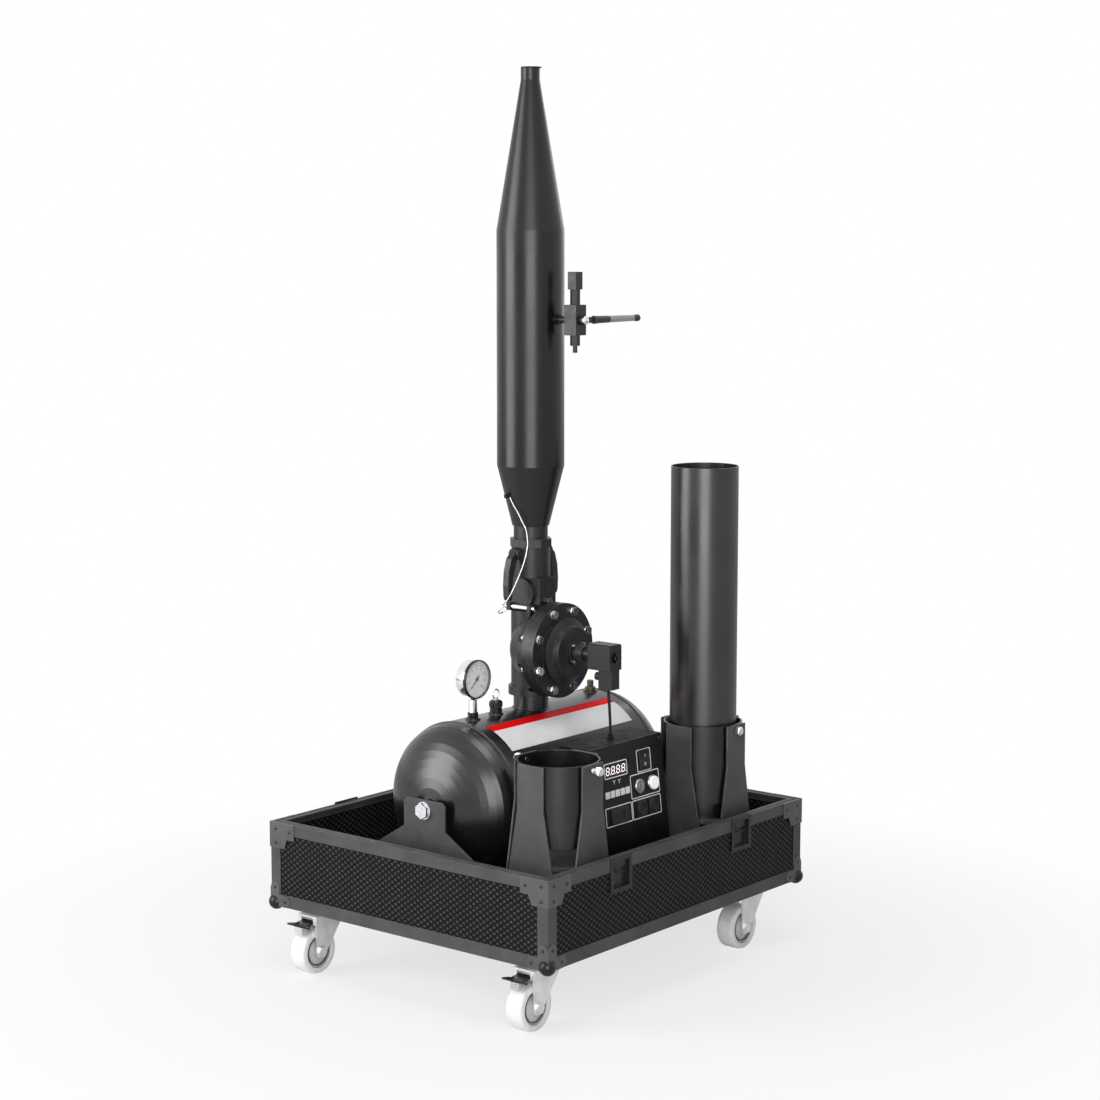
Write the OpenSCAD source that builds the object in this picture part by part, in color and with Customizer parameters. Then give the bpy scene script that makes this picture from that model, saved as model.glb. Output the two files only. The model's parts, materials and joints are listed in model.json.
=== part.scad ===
// Confetti blower on a wheeled case: air tank, dump valve, confetti canister, tube holders and control box.
// Millimetres. Z is up, the front (controls) faces -Y, and the origin is on the floor under the middle.

/* [Case] */
// Length of the case, left to right
case_l = 726; // [700:1:780]
// Width of the case, front to back
case_w = 624; // [610:1:660]
// Height of the case side
case_h = 150; // [140:1:165]
// Thickness of the plywood panels
ply_t = 9; // [7:0.5:12]
// Thickness of the aluminium angles
angle_t = 1.5; // [1:0.25:2]
// Leg of the aluminium angles
angle_leg = 22; // [18:1:24]
// Height of the rim profile outside the wall
rim_h = 20; // [16:1:26]
// Width of the rim profile's top
rim_w = 18; // [14:1:22]
// Thickness of the rim profile's top
rim_t = 3; // [2.5:0.25:4]
// Radius of the ball corners
ball_r = 14; // [12:0.5:18]
// How far inside the faces a ball corner's centre lies
ball_in = 6; // [4:0.5:8]
// Thickness of the corner plates and latch flanges
plate_t = 1.5; // [1:0.25:2]
// Width of a top corner brace on each face
brace_w = 57; // [45:1:65]
// Height of a top corner brace
brace_h = 45; // [35:1:55]
// Sideways place of the latch keepers
latch_x = 173; // [140:1:210]
// Width of a latch keeper's dish
dish_w = 46; // [38:1:54]
// Height of a latch keeper's dish
dish_h = 48; // [40:1:54]
// Depth of a latch keeper's dish
dish_d = 8; // [6:0.5:8.5]

/* [Casters] */
// Height of a caster, floor to the underside of the case
caster_h = 116; // [110:1:126]
// Radius of a wheel
wheel_r = 40; // [36:1:42]
// Width of a wheel's tread
wheel_w = 34; // [28:1:36]
// How far a wheel trails its swivel axis
trail = 36; // [30:1:40]
// Gap between a caster's plate and the edge angle, along the length
caster_gap_x = 1; // [1:0.5:20]
// Gap between a caster's plate and the edge angle, along the width
caster_gap_y = 10; // [1:0.5:30]
// Thickness of the fork's steel
fork_t = 3; // [2:0.5:4]
// Radius of the wheel axle
axle_r = 6; // [4:0.5:7]
// Radius of the swivel's king pin
king_r = 6; // [4:0.5:8]
// Length of a caster's top plate
top_plate_l = 90; // [80:1:92]
// Width of a caster's top plate
top_plate_w = 70; // [64:1:80]

/* [Tank] */
// Radius of the air tank
tank_r = 137; // [125:1:140]
// Length of the tank's straight shell
tank_l = 390; // [370:1:410]
// Depth of a dished end
head_d = 75; // [60:1:80]
// Wall of the tank
tank_t = 3; // [2:0.25:5]
// Gap between the tank and the control box's back
tank_gap = 8; // [2:0.5:20]
// Height of the tank's axis above the tray floor
axis_h = 187.5; // [180:0.5:200]
// Length of the tank over its pivot bosses
pivot_l = 560; // [550:1:580]
// Radius of the pivot bolts
bolt_r = 8; // [6:0.5:10]
// Thickness of the tank brackets
bracket_t = 4; // [3:0.5:6]
// Width of a bracket's top
bracket_top_w = 92; // [80:1:110]
// Width of a bracket's foot
bracket_foot_w = 260; // [220:1:280]
// Sideways place of the gauge
gauge_x = -157; // [-165:1:-150]
// Sideways place of the safety valve
safety_x = -96; // [-105:1:-90]
// Sideways place of the air inlet
inlet_x = 170; // [150:1:180]
// Radius of the welded ports
port_r = 12; // [10:0.5:14]
// Height of the welded ports above the tank
port_h = 3; // [2:0.5:5]

/* [Valve] */
// Height of the tank's outlet neck
outlet_h = 23; // [20:1:30]
// Height of the dump valve
valve_h = 151; // [148:1:160]
// Height of the diaphragm's centre above the valve's lower end
drum_h = 84; // [82:1:88]
// Radius of the valve's upright pipe
pipe_r = 35; // [33:0.5:37]
// Radius of the valve's inlet collar
collar_r = 40; // [38:0.5:44]
// Radius of the diaphragm flanges
flange_r = 83.5; // [80:0.5:90]
// Distance of the flange joint in front of the barrel's axis
joint_d = 61; // [60:0.5:64]
// Radius of the flange's bolt circle
bolt_circle_r = 72; // [68:0.5:74]
// Radius of the valve's seat and outlet
seat_r = 18; // [15:0.5:20]
// Radius of the diaphragm
diaphragm_r = 50; // [48:0.5:50]
// Width of the solenoid coil
coil_w = 33.5; // [30:0.5:38]
// Height of the solenoid coil
coil_h = 45; // [40:0.5:50]
// Length of the solenoid coil
coil_l = 48; // [44:0.5:52]
// Height of the outlet block
block_h = 59; // [55:1:64]
// Width of the outlet block
block_w = 44; // [40:1:50]
// Depth of the outlet block
block_l = 77; // [72:1:84]
// Sideways place of the pull pin
pin_x = -34; // [-36:1:-33]
// Radius of the pull pin
pin_r = 4; // [3:0.25:5]

/* [Coupling] */
// Height of the cam coupling
coupling_h = 53; // [50:1:60]
// Radius of the cam coupling
coupling_r = 34; // [32:0.5:36]
// Radius of the adapter's spigot
spigot_r = 27; // [25:0.5:28]
// Distance of the cam arms' pivots from the barrel's axis
cam_x = 40; // [39:0.5:44]
// Thickness of a cam arm
arm_t = 12; // [10:0.5:14]
// Height of the adapter's ring
ring_h = 14; // [10:1:18]
// Height of the adapter's neck
neck_h = 23; // [18:1:30]

/* [Canister] */
// Radius of the canister
can_r = 59; // [55:0.5:62]
// Wall of the canister
can_t = 2; // [1.5:0.25:3]
// Height of the lower cone
cone_h = 106; // [95:1:120]
// Height of the straight part
barrel_h = 407; // [380:1:440]
// Height of the upper cone
taper_h = 256; // [240:1:280]
// Length of the nozzle
nozzle_h = 22; // [18:1:30]
// Radius of the nozzle
nozzle_r = 16.5; // [15:0.5:18]
// Height of the hand valve above the canister's foot
hand_h = 361; // [320:1:400]
// Distance of the hand valve's bore in front of the canister's axis
hand_d = 99; // [96:1:104]
// Length of the hand lever from its stem
lever_l = 154; // [130:1:170]

/* [Tube holders] */
// Distance of the holders from the middle, sideways
holder_x = 205; // [200:1:215]
// Gap between the holders' front plates and the case wall
holder_gap = 23.5; // [5:0.5:26]
// Outer radius of a holder's sleeve
sleeve_r = 70; // [66:0.5:72]
// Wall of a holder's sleeve and legs
sleeve_t = 3; // [2:0.25:4]
// Height of a holder's top above the tray floor
holder_h = 295.5; // [280:0.5:310]
// Length of a holder's sleeve
sleeve_l = 137; // [120:1:150]
// Height of the stop disc above the tray floor
stop_h = 123.5; // [100:0.5:140]
// Width of a leg at its top
leg_top_w = 54; // [48:1:60]
// Width of a leg at the tray floor
leg_foot_w = 134; // [100:1:138]
// Radius of the spare tube
tube_r = 59.5; // [58:0.5:61]
// Wall of the spare tube
tube_t = 2; // [1.5:0.25:3]
// Length of the spare tube
tube_l = 621; // [560:1:660]
// Radius of the thumb screws' threads
screw_r = 4; // [3:0.25:5]

/* [Control box] */
// Width of the control box
box_w = 198; // [190:1:210]
// Height of the control box
box_h = 288.5; // [280:0.5:300]
// Gap between the box's foot and the case wall
box_gap = 80.5; // [60:0.5:84]
// Depth of the box at its top
box_top_d = 66; // [62:1:72]
// Depth of the box at its foot
box_foot_d = 99; // [95:1:105]
// Thickness of the box's sheet metal
sheet_t = 2; // [1:0.25:3]
// Thickness of the front panel
panel_t = 2; // [1.5:0.25:3]
// Radius of the push button
button_r = 11.5; // [10:0.5:12]
// Radius of the key switch's core
key_r = 8; // [6:0.5:9]

/* [Hidden] */
$fn = 64;

// Clearances: between parts that are assembled, between parts that turn, and between separate strips
seat_gap = 0.3;
run_gap = 0.05;
joint_gap = 0.2;

// Levels of the case
case_z = caster_h;
case_top = case_z + case_h;
floor_z = case_z + angle_t;
tray_z = floor_z + ply_t;
wall_in = angle_t + ply_t;

// Places that follow from the case's length and width
caster_x = case_l / 2 - angle_leg - caster_gap_x - top_plate_l / 2;
caster_y = case_w / 2 - angle_leg - caster_gap_y - top_plate_w / 2;
holder_y = case_w / 2 - wall_in - holder_gap - sleeve_t - sleeve_r;
box_back = case_w / 2 - wall_in - box_gap - box_foot_d;
tank_y = tank_r + tank_gap - box_back;

// Levels of the tank, the valve and the barrel
tank_z = tray_z + axis_h;
tank_top = tank_z + tank_r;
port_z = tank_top + port_h;
valve_z = tank_top + outlet_h;
drum_z = valve_z + drum_h;
block_z = valve_z + valve_h;
coupling_z = block_z + block_h;
ring_z = coupling_z + coupling_h;
can_z = ring_z + ring_h + neck_h;
hand_z = can_z + hand_h;

// Distances in front of the barrel's axis, along the valve's cover and coil
cover_t = 12;
bonnet_r = 58;
plunger_l = 60;
dome_d = joint_d + cover_t;
hub_d = dome_d + 50;
coil_d = hub_d + 18;
nose_d = coil_d + coil_l;

// Levels of the holders and the control box
holder_top = tray_z + holder_h;
stop_z = tray_z + stop_h;
stop_t = 6;
screw_z = holder_top - 10;
box_top = tray_z + box_h;
lean = atan((box_foot_d - box_top_d) / box_h);
gland_at = [-5, -box_back - 37];

// Routes of the two cords
cable_r = 2.5;
cable_route = [
    [0, -151, drum_z - 56.2], [0, -151, drum_z - 64], [-1, -153, drum_z - 78], [-3, -156, drum_z - 96],
    [-4, -158, drum_z - 114], [-5, -159, box_top + 18], [-5, -159, box_top + 10.2],
];
lanyard_r = 1;
lanyard_route = [
    [-47, 31, 826], [-46, 24, 813], [-44, 15, 799], [-42, 8, 785], [-39, 2, 772], [-38, 0, 760],
    [-39, -2, 745], [-43, -2, 728], [-50, -1, 710], [-60, 2, 688], [-70, 8, 664], [-74, 16, 649],
    [-71, 27, 641], [-60, 39, 637], [-48, 47, 635], [-39.4, 50, 634],
];

function unit(v) = v / norm(v);

// Catmull-Rom curve through the points of a route, with a number of steps in each stretch
function at(p, i) = p[max(0, min(len(p) - 1, i))];
function curve(p, steps) = [
    for (i = [0 : len(p) - 2], k = [0 : steps - 1])
        let (t = k / steps, a = at(p, i - 1), b = p[i], c = p[i + 1], d = at(p, i + 2))
        0.5 * (2 * b + (c - a) * t + (2 * a - 5 * b + 4 * c - d) * t * t + (3 * b - a - 3 * c + d) * t * t * t),
    p[len(p) - 1],
];

// Round tube along a line of points; side must not be parallel to the line
module tube(points, r, sides, side) {
    n = len(points);
    rings = [
        for (i = [0 : n - 1])
            let (t = unit(at(points, i + 1) - at(points, i - 1)), u = unit(cross(t, side)), v = cross(t, u))
            for (k = [0 : sides - 1]) points[i] + r * (cos(360 * k / sides) * u + sin(360 * k / sides) * v),
    ];
    wall = [
        for (i = [0 : n - 2], k = [0 : sides - 1])
            let (a = i * sides + k, b = i * sides + (k + 1) % sides)
            for (f = [[a, b + sides, b], [a, a + sides, b + sides]]) f,
    ];
    caps = [
        for (k = [1 : sides - 2]) [0, k, k + 1],
        for (k = [1 : sides - 2]) (n - 1) * sides * [1, 1, 1] + [0, k + 1, k],
    ];
    polyhedron(rings, concat(wall, caps), convexity = 6);
}

// Copies in all four quarters, each turned so that local +X and +Y point outwards
module quarters() {
    for (sx = [-1, 1], sy = [-1, 1]) scale_sign(sx, sy) children();
}

module scale_sign(sx, sy) {
    mirror([sx < 0 ? 1 : 0, 0, 0]) mirror([0, sy < 0 ? 1 : 0, 0]) children();
}

// Local +Z points forward, to -Y, from the barrel's axis at a height
module forward(z) {
    translate([0, tank_y, z]) rotate([90, 0, 0]) children();
}

// Plate of one outline, with a thickness along X, and its outline's axes along Y and Z
module plate_x(t) {
    rotate([90, 0, 90]) linear_extrude(t) children();
}

module hexagon(across, h) {
    cylinder(r = across / 2 / cos(30), h = h, $fn = 6);
}

// Case

module latch_cuts(grow) {
    for (sx = [-1, 1], sy = [-1, 1])
        translate([sx * latch_x - dish_w / 2 - grow, sy > 0 ? case_w / 2 - dish_d - grow : -case_w / 2 - plate_t, 0])
            translate([0, 0, case_top - rim_t - joint_gap - dish_h - grow])
                cube([dish_w + 2 * grow, dish_d + plate_t + grow, dish_h + grow + joint_gap]);
}

module tray_floor() {
    color("#2a2420")
        translate([-case_l / 2 + angle_t, -case_w / 2 + angle_t, floor_z])
            cube([case_l - 2 * angle_t, case_w - 2 * angle_t, ply_t]);
}

module case_walls() {
    wall_h = case_top - rim_t - tray_z;
    color("#1b1b1c") difference() {
        union() {
            for (sy = [-1, 1])
                translate([-case_l / 2 + angle_t, sy * (case_w / 2 - angle_t - ply_t / 2) - ply_t / 2, tray_z])
                    cube([case_l - 2 * angle_t, ply_t, wall_h]);
            for (sx = [-1, 1])
                translate([sx * (case_l / 2 - angle_t - ply_t / 2) - ply_t / 2, -case_w / 2 + wall_in + joint_gap, tray_z])
                    cube([ply_t, case_w - 2 * wall_in - 2 * joint_gap, wall_h]);
        }
        latch_cuts(joint_gap);
    }
}

// One straight strip of an edge profile along the length or the width, with mitred ends
module mitred(length, width) {
    half = length / 2 - joint_gap;
    intersection() {
        rotate([90, 0, 90]) translate([0, 0, -length / 2]) linear_extrude(length) children();
        translate([0, 0, -case_h])
            linear_extrude(2 * case_h)
                polygon([[-half, 0], [half, 0], [half - width, width], [width - half, width]]);
    }
}

module rim_section() {
    polygon([
        [0, 0], [5, 0], [5, -1], [9, -1], [9, 0], [rim_w, 0], [rim_w, -rim_t],
        [wall_in + angle_t, -rim_t], [wall_in + angle_t, 6 - rim_h], [wall_in, 6 - rim_h], [wall_in, -rim_t],
        [angle_t, -rim_t], [angle_t, -rim_h], [0, -rim_h],
    ]);
}

module foot_section() {
    polygon([[0, 0], [angle_leg, 0], [angle_leg, angle_t], [angle_t, angle_t], [angle_t, angle_leg], [0, angle_leg]]);
}

module case_edging() {
    color("#3a3a3c") difference() {
        for (side = [0 : 3]) {
            length = side % 2 == 0 ? case_l : case_w;
            depth = side % 2 == 0 ? case_w : case_l;
            rotate([0, 0, side * 90]) translate([0, -depth / 2, 0]) {
                translate([0, 0, case_top]) mitred(length, rim_w + joint_gap) rim_section();
                translate([0, 0, case_z]) mitred(length, angle_leg + joint_gap) foot_section();
            }
        }
        latch_cuts(joint_gap);
    }
    color("#3a3a3c") quarters()
        translate([case_l / 2, case_w / 2, case_z + angle_leg + joint_gap])
            linear_extrude(case_h - angle_leg - rim_h - 2 * joint_gap)
                polygon([
                    [0, 0], [-angle_leg, 0], [-angle_leg, -angle_t], [-angle_t, -angle_t],
                    [-angle_t, -angle_leg], [0, -angle_leg],
                ]);
}

// Outline of one side of a ball corner: a lobe along the edge and a lobe up the corner
module lobes(tab_l, tab_w) {
    for (turn = [0, 1]) mirror([turn, -turn]) {
        square([tab_l - tab_w / 2, tab_w]);
        translate([tab_l - tab_w / 2, tab_w / 2]) circle(d = tab_w);
    }
}

module brace_outline() {
    polygon([[0, 0], [brace_w, 0], [brace_w, -brace_h * 0.62], [brace_w * 0.7, -brace_h * 0.62],
             [brace_w * 0.58, -brace_h], [0, -brace_h]]);
}

module corner_fittings() {
    lobe_l = 44;
    lobe_w = 20;
    color("#222224") quarters() {
        difference() {
            union() {
                translate([case_l / 2 - ball_in, case_w / 2 - ball_in, case_z + ball_in]) sphere(ball_r);
                translate([case_l / 2, case_w / 2, case_z]) {
                    rotate([90, 0, 180]) linear_extrude(plate_t) lobes(lobe_l, lobe_w);
                    mirror([1, -1, 0]) rotate([90, 0, 180]) linear_extrude(plate_t) lobes(lobe_l, lobe_w);
                    cube([plate_t, plate_t, lobe_l - lobe_w / 2]);
                }
            }
            translate([-case_l / 2, -case_w / 2, case_z]) cube([case_l, case_w, case_h]);
        }
        translate([case_l / 2, case_w / 2, case_top]) {
            rotate([90, 0, 180]) linear_extrude(plate_t) brace_outline();
            mirror([1, -1, 0]) rotate([90, 0, 180]) linear_extrude(plate_t) brace_outline();
            translate([0, 0, -brace_h]) cube([plate_t, plate_t, brace_h]);
        }
    }
}

module latch_keepers() {
    wall = 1.2;
    color("#2c2c2e") for (sx = [-1, 1], sy = [-1, 1]) scale_sign(sx, sy)
        translate([latch_x, case_w / 2, case_top - rim_t - joint_gap - dish_h]) {
            difference() {
                union() {
                    translate([-dish_w / 2, -dish_d, 0]) cube([dish_w, dish_d, dish_h]);
                    translate([-dish_w / 2 - 6, 0, -6]) cube([dish_w + 12, plate_t, dish_h + 12]);
                }
                translate([wall - dish_w / 2, wall - dish_d, wall])
                    cube([dish_w - 2 * wall, dish_d + plate_t, dish_h - 2 * wall]);
            }
            translate([-14, wall - dish_d, dish_h - 14]) cube([28, 4, 14 - wall]);
        }
}

// Casters

module caster_spot(sx, sy) {
    translate([sx * caster_x, sy * caster_y, 0]) children();
}

race_r = 25;
crown_top = caster_h - 12;
crown_z = crown_top - 4;

module caster_plates() {
    plate_z = floor_z - fork_t;
    color("#b8babd") for (sx = [-1, 1], sy = [-1, 1]) caster_spot(sx, sy) {
        difference() {
            translate([-top_plate_l / 2, -top_plate_w / 2, plate_z]) cube([top_plate_l, top_plate_w, fork_t]);
            for (bx = [-1, 1], by = [-1, 1])
                translate([bx * (top_plate_l / 2 - 10), by * (top_plate_w / 2 - 9), plate_z - 1])
                    cylinder(r = 4.2, h = fork_t + 2);
        }
        translate([0, 0, crown_top + seat_gap]) cylinder(r1 = race_r - 3, r2 = race_r, h = plate_z - crown_top - seat_gap);
        translate([0, 0, crown_z - 3]) cylinder(r = king_r, h = plate_z - crown_z + 3);
        translate([0, 0, crown_z - seat_gap - 4]) cylinder(r = king_r + 4, h = 4);
        for (bx = [-1, 1], by = [-1, 1])
            translate([bx * (top_plate_l / 2 - 10), by * (top_plate_w / 2 - 9), plate_z - 5.3])
                hexagon(13, 5.3);
    }
}

// A fork points its wheel to -X; its swivel axis is the local Z axis
module fork() {
    leg_y = wheel_w / 2 + 1.5;
    foot_r = 12;
    difference() {
        union() {
            translate([0, 0, crown_z]) linear_extrude(crown_top - crown_z) {
                circle(r = race_r + 2);
                translate([-trail - foot_r, -leg_y - fork_t]) square([trail + foot_r, 2 * (leg_y + fork_t)]);
            }
            for (sy = [-1, 1]) translate([0, sy * (leg_y + fork_t / 2) + fork_t / 2, 0]) rotate([90, 0, 0]) linear_extrude(fork_t) {
                polygon([
                    [-trail - foot_r, wheel_r], [-trail - foot_r, crown_top - 1], [race_r - 12, crown_top - 1],
                    [race_r - 8, crown_z - 8], [foot_r * 0.85 - trail, wheel_r - foot_r * 0.5],
                ]);
                translate([-trail, wheel_r]) circle(r = foot_r);
            }
            translate([-trail, leg_y + fork_t + 4, wheel_r]) rotate([90, 0, 0]) cylinder(r = axle_r, h = 2 * (leg_y + fork_t + 4));
            for (turn = [0, 180]) translate([-trail, 0, wheel_r]) rotate([90, 0, turn])
                translate([0, 0, leg_y + fork_t - 0.5]) hexagon(17, 5.5);
        }
        translate([0, 0, crown_z - 1]) cylinder(r = king_r + run_gap, h = crown_top - crown_z + 2);
    }
}

module wheel() {
    side = wheel_w / 2;
    hub_w = side + 1.5 - seat_gap;
    translate([-trail, 0, wheel_r]) rotate([90, 0, 0]) rotate_extrude($fn = 96) polygon([
        [axle_r + run_gap, -hub_w], [13, -hub_w], [13, 4 - side], [24, 5 - side], [24, 2 - side], [26, 2 - side],
        [26, 5 - side], [28, 5 - side], [30, -side], [wheel_r - 4, -side], [wheel_r - 1, 1.5 - side], [wheel_r, 5 - side],
        [wheel_r, side - 5], [wheel_r - 1, side - 1.5], [wheel_r - 4, side], [30, side], [28, side - 5],
        [26, side - 5], [26, side - 2], [24, side - 2], [24, side - 5], [13, side - 4], [13, hub_w],
        [axle_r + run_gap, hub_w],
    ]);
}

// Height and reach of the brake pedal's pivot, from the swivel axis
pedal_pivot = [-trail - 8, 92];

module brake() {
    tip = case_l / 2 + 3 - caster_x;
    translate([pedal_pivot[0], 18, pedal_pivot[1]]) rotate([90, 0, 0]) cylinder(r = 3, h = 36);
    rotate([90, 0, 0]) translate([0, 0, -14]) linear_extrude(28)
        polygon([[pedal_pivot[0], 90.5], [-tip, 88], [-tip, 91], [pedal_pivot[0], 94.5]]);
    translate([0, 0, 88]) linear_extrude(3)
        polygon([[-tip, -27], [-tip, 27], [10 - tip, 20], [10 - tip, -20]]);
    translate([-tip, -9, 76]) cube([2.5, 18, 13]);
}

module fork_with_lugs() {
    difference() {
        union() {
            fork();
            for (sy = [-1, 1]) translate([pedal_pivot[0], sy * 16.3 + 2, pedal_pivot[1]]) rotate([90, 0, 0])
                linear_extrude(4) {
                    circle(r = 5);
                    translate([-5, 0]) square([10, crown_z - pedal_pivot[1] + 1]);
                }
        }
        translate([pedal_pivot[0], 18.4, pedal_pivot[1]]) rotate([90, 0, 0]) cylinder(r = 3 + run_gap, h = 36.8);
    }
}

module fork_front_left() { color("#b8babd") caster_spot(-1, -1) fork_with_lugs(); }
module fork_front_right() { color("#b8babd") caster_spot(1, -1) fork(); }
module fork_rear_left() { color("#b8babd") caster_spot(-1, 1) fork_with_lugs(); }
module fork_rear_right() { color("#b8babd") caster_spot(1, 1) fork(); }
module wheel_front_left() { color("#e6e6e4") caster_spot(-1, -1) wheel(); }
module wheel_front_right() { color("#e6e6e4") caster_spot(1, -1) wheel(); }
module wheel_rear_left() { color("#e6e6e4") caster_spot(-1, 1) wheel(); }
module wheel_rear_right() { color("#e6e6e4") caster_spot(1, 1) wheel(); }
module brake_front_left() { color("#151515") caster_spot(-1, -1) brake(); }
module brake_rear_left() { color("#151515") caster_spot(-1, 1) brake(); }

// Tank and what is screwed into it

module tank_brackets() {
    half_top = bracket_top_w / 2;
    half_foot = bracket_foot_w / 2;
    axis = tank_z - tray_z;
    color("#1d1d1f") for (sx = [-1, 1]) mirror([sx < 0 ? 1 : 0, 0, 0]) translate([pivot_l / 2, tank_y, tray_z]) difference() {
        union() {
            plate_x(bracket_t) polygon([
                [-half_foot, 0], [half_foot, 0], [half_foot, axis - 84], [half_top, axis - 32],
                [half_top, axis + 12], [half_top - 6, axis + 18], [6 - half_top, axis + 18],
                [-half_top, axis + 12], [-half_top, axis - 32], [-half_foot, axis - 84],
            ]);
            translate([-36, -half_foot, 0]) cube([37, 2 * half_foot, bracket_t]);
        }
        translate([-1, 0, axis]) rotate([0, 90, 0]) cylinder(r = bolt_r + run_gap, h = bracket_t + 2);
    }
}

module pivot_bolts() {
    color("#c9cbce") for (sx = [-1, 1]) mirror([sx < 0 ? 1 : 0, 0, 0]) translate([pivot_l / 2 + bracket_t, tank_y, tank_z]) rotate([0, 90, 0]) {
        translate([0, 0, -18]) cylinder(r = bolt_r, h = 19);
        cylinder(r = bolt_r * 1.9, h = 2);
        translate([0, 0, 2]) hexagon(bolt_r * 3, 7);
    }
}

// Half section of the tank, grown inwards by a wall
function dish(r, depth, length, from, to, steps) = [
    for (k = [0 : steps])
        let (a = from + (to - from) * k / steps) [r * cos(a), sign(to + from) * length / 2 + depth * sin(a)]
];

module tank_solid(r, depth) {
    rotate([0, 90, 0]) rotate_extrude($fn = 120)
        polygon(concat(dish(r, depth, tank_l, -90, 0, 12), dish(r, depth, tank_l, 0, 90, 12)));
}

module tank_shell() {
    boss_r = 20;
    color("#1c1c1e") translate([0, tank_y, tank_z]) difference() {
        union() {
            tank_solid(tank_r, head_d);
            for (sx = [-1, 1]) {
                translate([sx * tank_l / 2, 0, 0]) rotate([0, 90, 0])
                    rotate_extrude($fn = 120) translate([tank_r - 0.5, 0]) circle(r = 2.2, $fn = 16);
                mirror([sx < 0 ? 1 : 0, 0, 0]) rotate([0, 90, 0])
                    translate([0, 0, tank_l / 2 + head_d * 0.9]) cylinder(r = boss_r, h = pivot_l / 2 - seat_gap - tank_l / 2 - head_d * 0.9);
            }
            translate([0, 0, tank_r - 8]) cylinder(r = pipe_r - 4, h = outlet_h + 8);
            for (x = [gauge_x, safety_x, inlet_x])
                translate([x, 0, tank_r - 3]) cylinder(r = port_r, h = port_h + 3);
        }
        tank_solid(tank_r - tank_t, head_d - tank_t);
        cylinder(r = pipe_r - 10, h = tank_r + outlet_h + 1);
        for (sx = [-1, 1]) mirror([sx < 0 ? 1 : 0, 0, 0]) rotate([0, 90, 0])
            translate([0, 0, pivot_l / 2 - 16]) cylinder(r = bolt_r + run_gap, h = 17);
    }
}

gauge_r = 34;
gauge_up = 71;
gauge_face = 13;

module at_gauge() {
    translate([gauge_x, tank_y - gauge_face, tank_top + gauge_up]) rotate([90, 0, 0]) children();
}

module gauge_case() {
    cup_r = gauge_r - 3;
    color("#c4c6c9") {
        at_gauge() rotate_extrude($fn = 96) polygon([
            [0, -26], [cup_r, -26], [cup_r, -6], [gauge_r, -6], [gauge_r, -1], [gauge_r - 1, 0], [cup_r - 2, 0],
            [cup_r - 2, -24], [0, -24],
        ]);
        translate([gauge_x, tank_y, port_z]) {
            hexagon(17, 10);
            cylinder(r = 6, h = 32);
            translate([0, 0, 24]) cylinder(r = 8, h = 13);
        }
    }
    color("white") at_gauge() translate([0, 0, -24]) difference() {
        cylinder(r = cup_r - 2, h = 19);
        translate([0, 0, 15]) cylinder(r = 1.5 + run_gap, h = 5);
    }
}

module gauge_needle() {
    color("black") at_gauge() {
        translate([0, 0, -8]) cylinder(r = 1.5, h = 5);
        translate([0, 0, -4]) cylinder(r = 3.5, h = 1.6);
        rotate([0, 0, 225]) translate([0, 0, -3.6])
            linear_extrude(0.8) polygon([[-8, -1.5], [-8, 1.5], [0, 1.2], [22, 0.3], [22, -0.3], [0, -1.2]]);
    }
}

module gauge_glass() {
    color([0.9, 0.95, 1, 0.4]) at_gauge() translate([0, 0, -1.8]) cylinder(r = gauge_r - 5 - joint_gap, h = 1.4);
}

module safety_valve() {
    color("#55503f") translate([safety_x, tank_y, port_z]) difference() {
        union() {
            hexagon(19, 8);
            translate([0, 0, 8]) cylinder(r = 10, h = 2);
            translate([0, 0, 10]) cylinder(r = 11.5, h = 9);
            translate([0, 0, 19]) cylinder(r1 = 11.5, r2 = 8, h = 3);
        }
        translate([0, 0, 10]) cylinder(r = 2 + run_gap, h = 20);
    }
}

module safety_ring() {
    color("#c4c6c9") translate([safety_x, tank_y, port_z]) {
        translate([0, 0, 11]) cylinder(r = 2, h = 14);
        translate([0, 0, 22 + seat_gap]) cylinder(r = 4, h = 3);
        translate([0, 0, 32.5]) rotate([90, 0, 0]) rotate_extrude() translate([8, 0]) circle(r = 1.2, $fn = 16);
    }
}

module air_inlet() {
    color("#b9a05a") translate([inlet_x, tank_y, port_z]) difference() {
        union() {
            hexagon(17, 6);
            cylinder(r = 6, h = 18);
        }
        translate([0, 0, 4]) cylinder(r = 3, h = 20);
    }
}

// Dump valve, along the axis that points forward from the barrel

module flange_bolts_at() {
    for (k = [0 : 7]) rotate([0, 0, 22.5 + 45 * k]) translate([bolt_circle_r, 0, 0]) children();
}

seat_d = joint_d - 4;
nut_seat_d = joint_d - 14.5;

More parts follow.
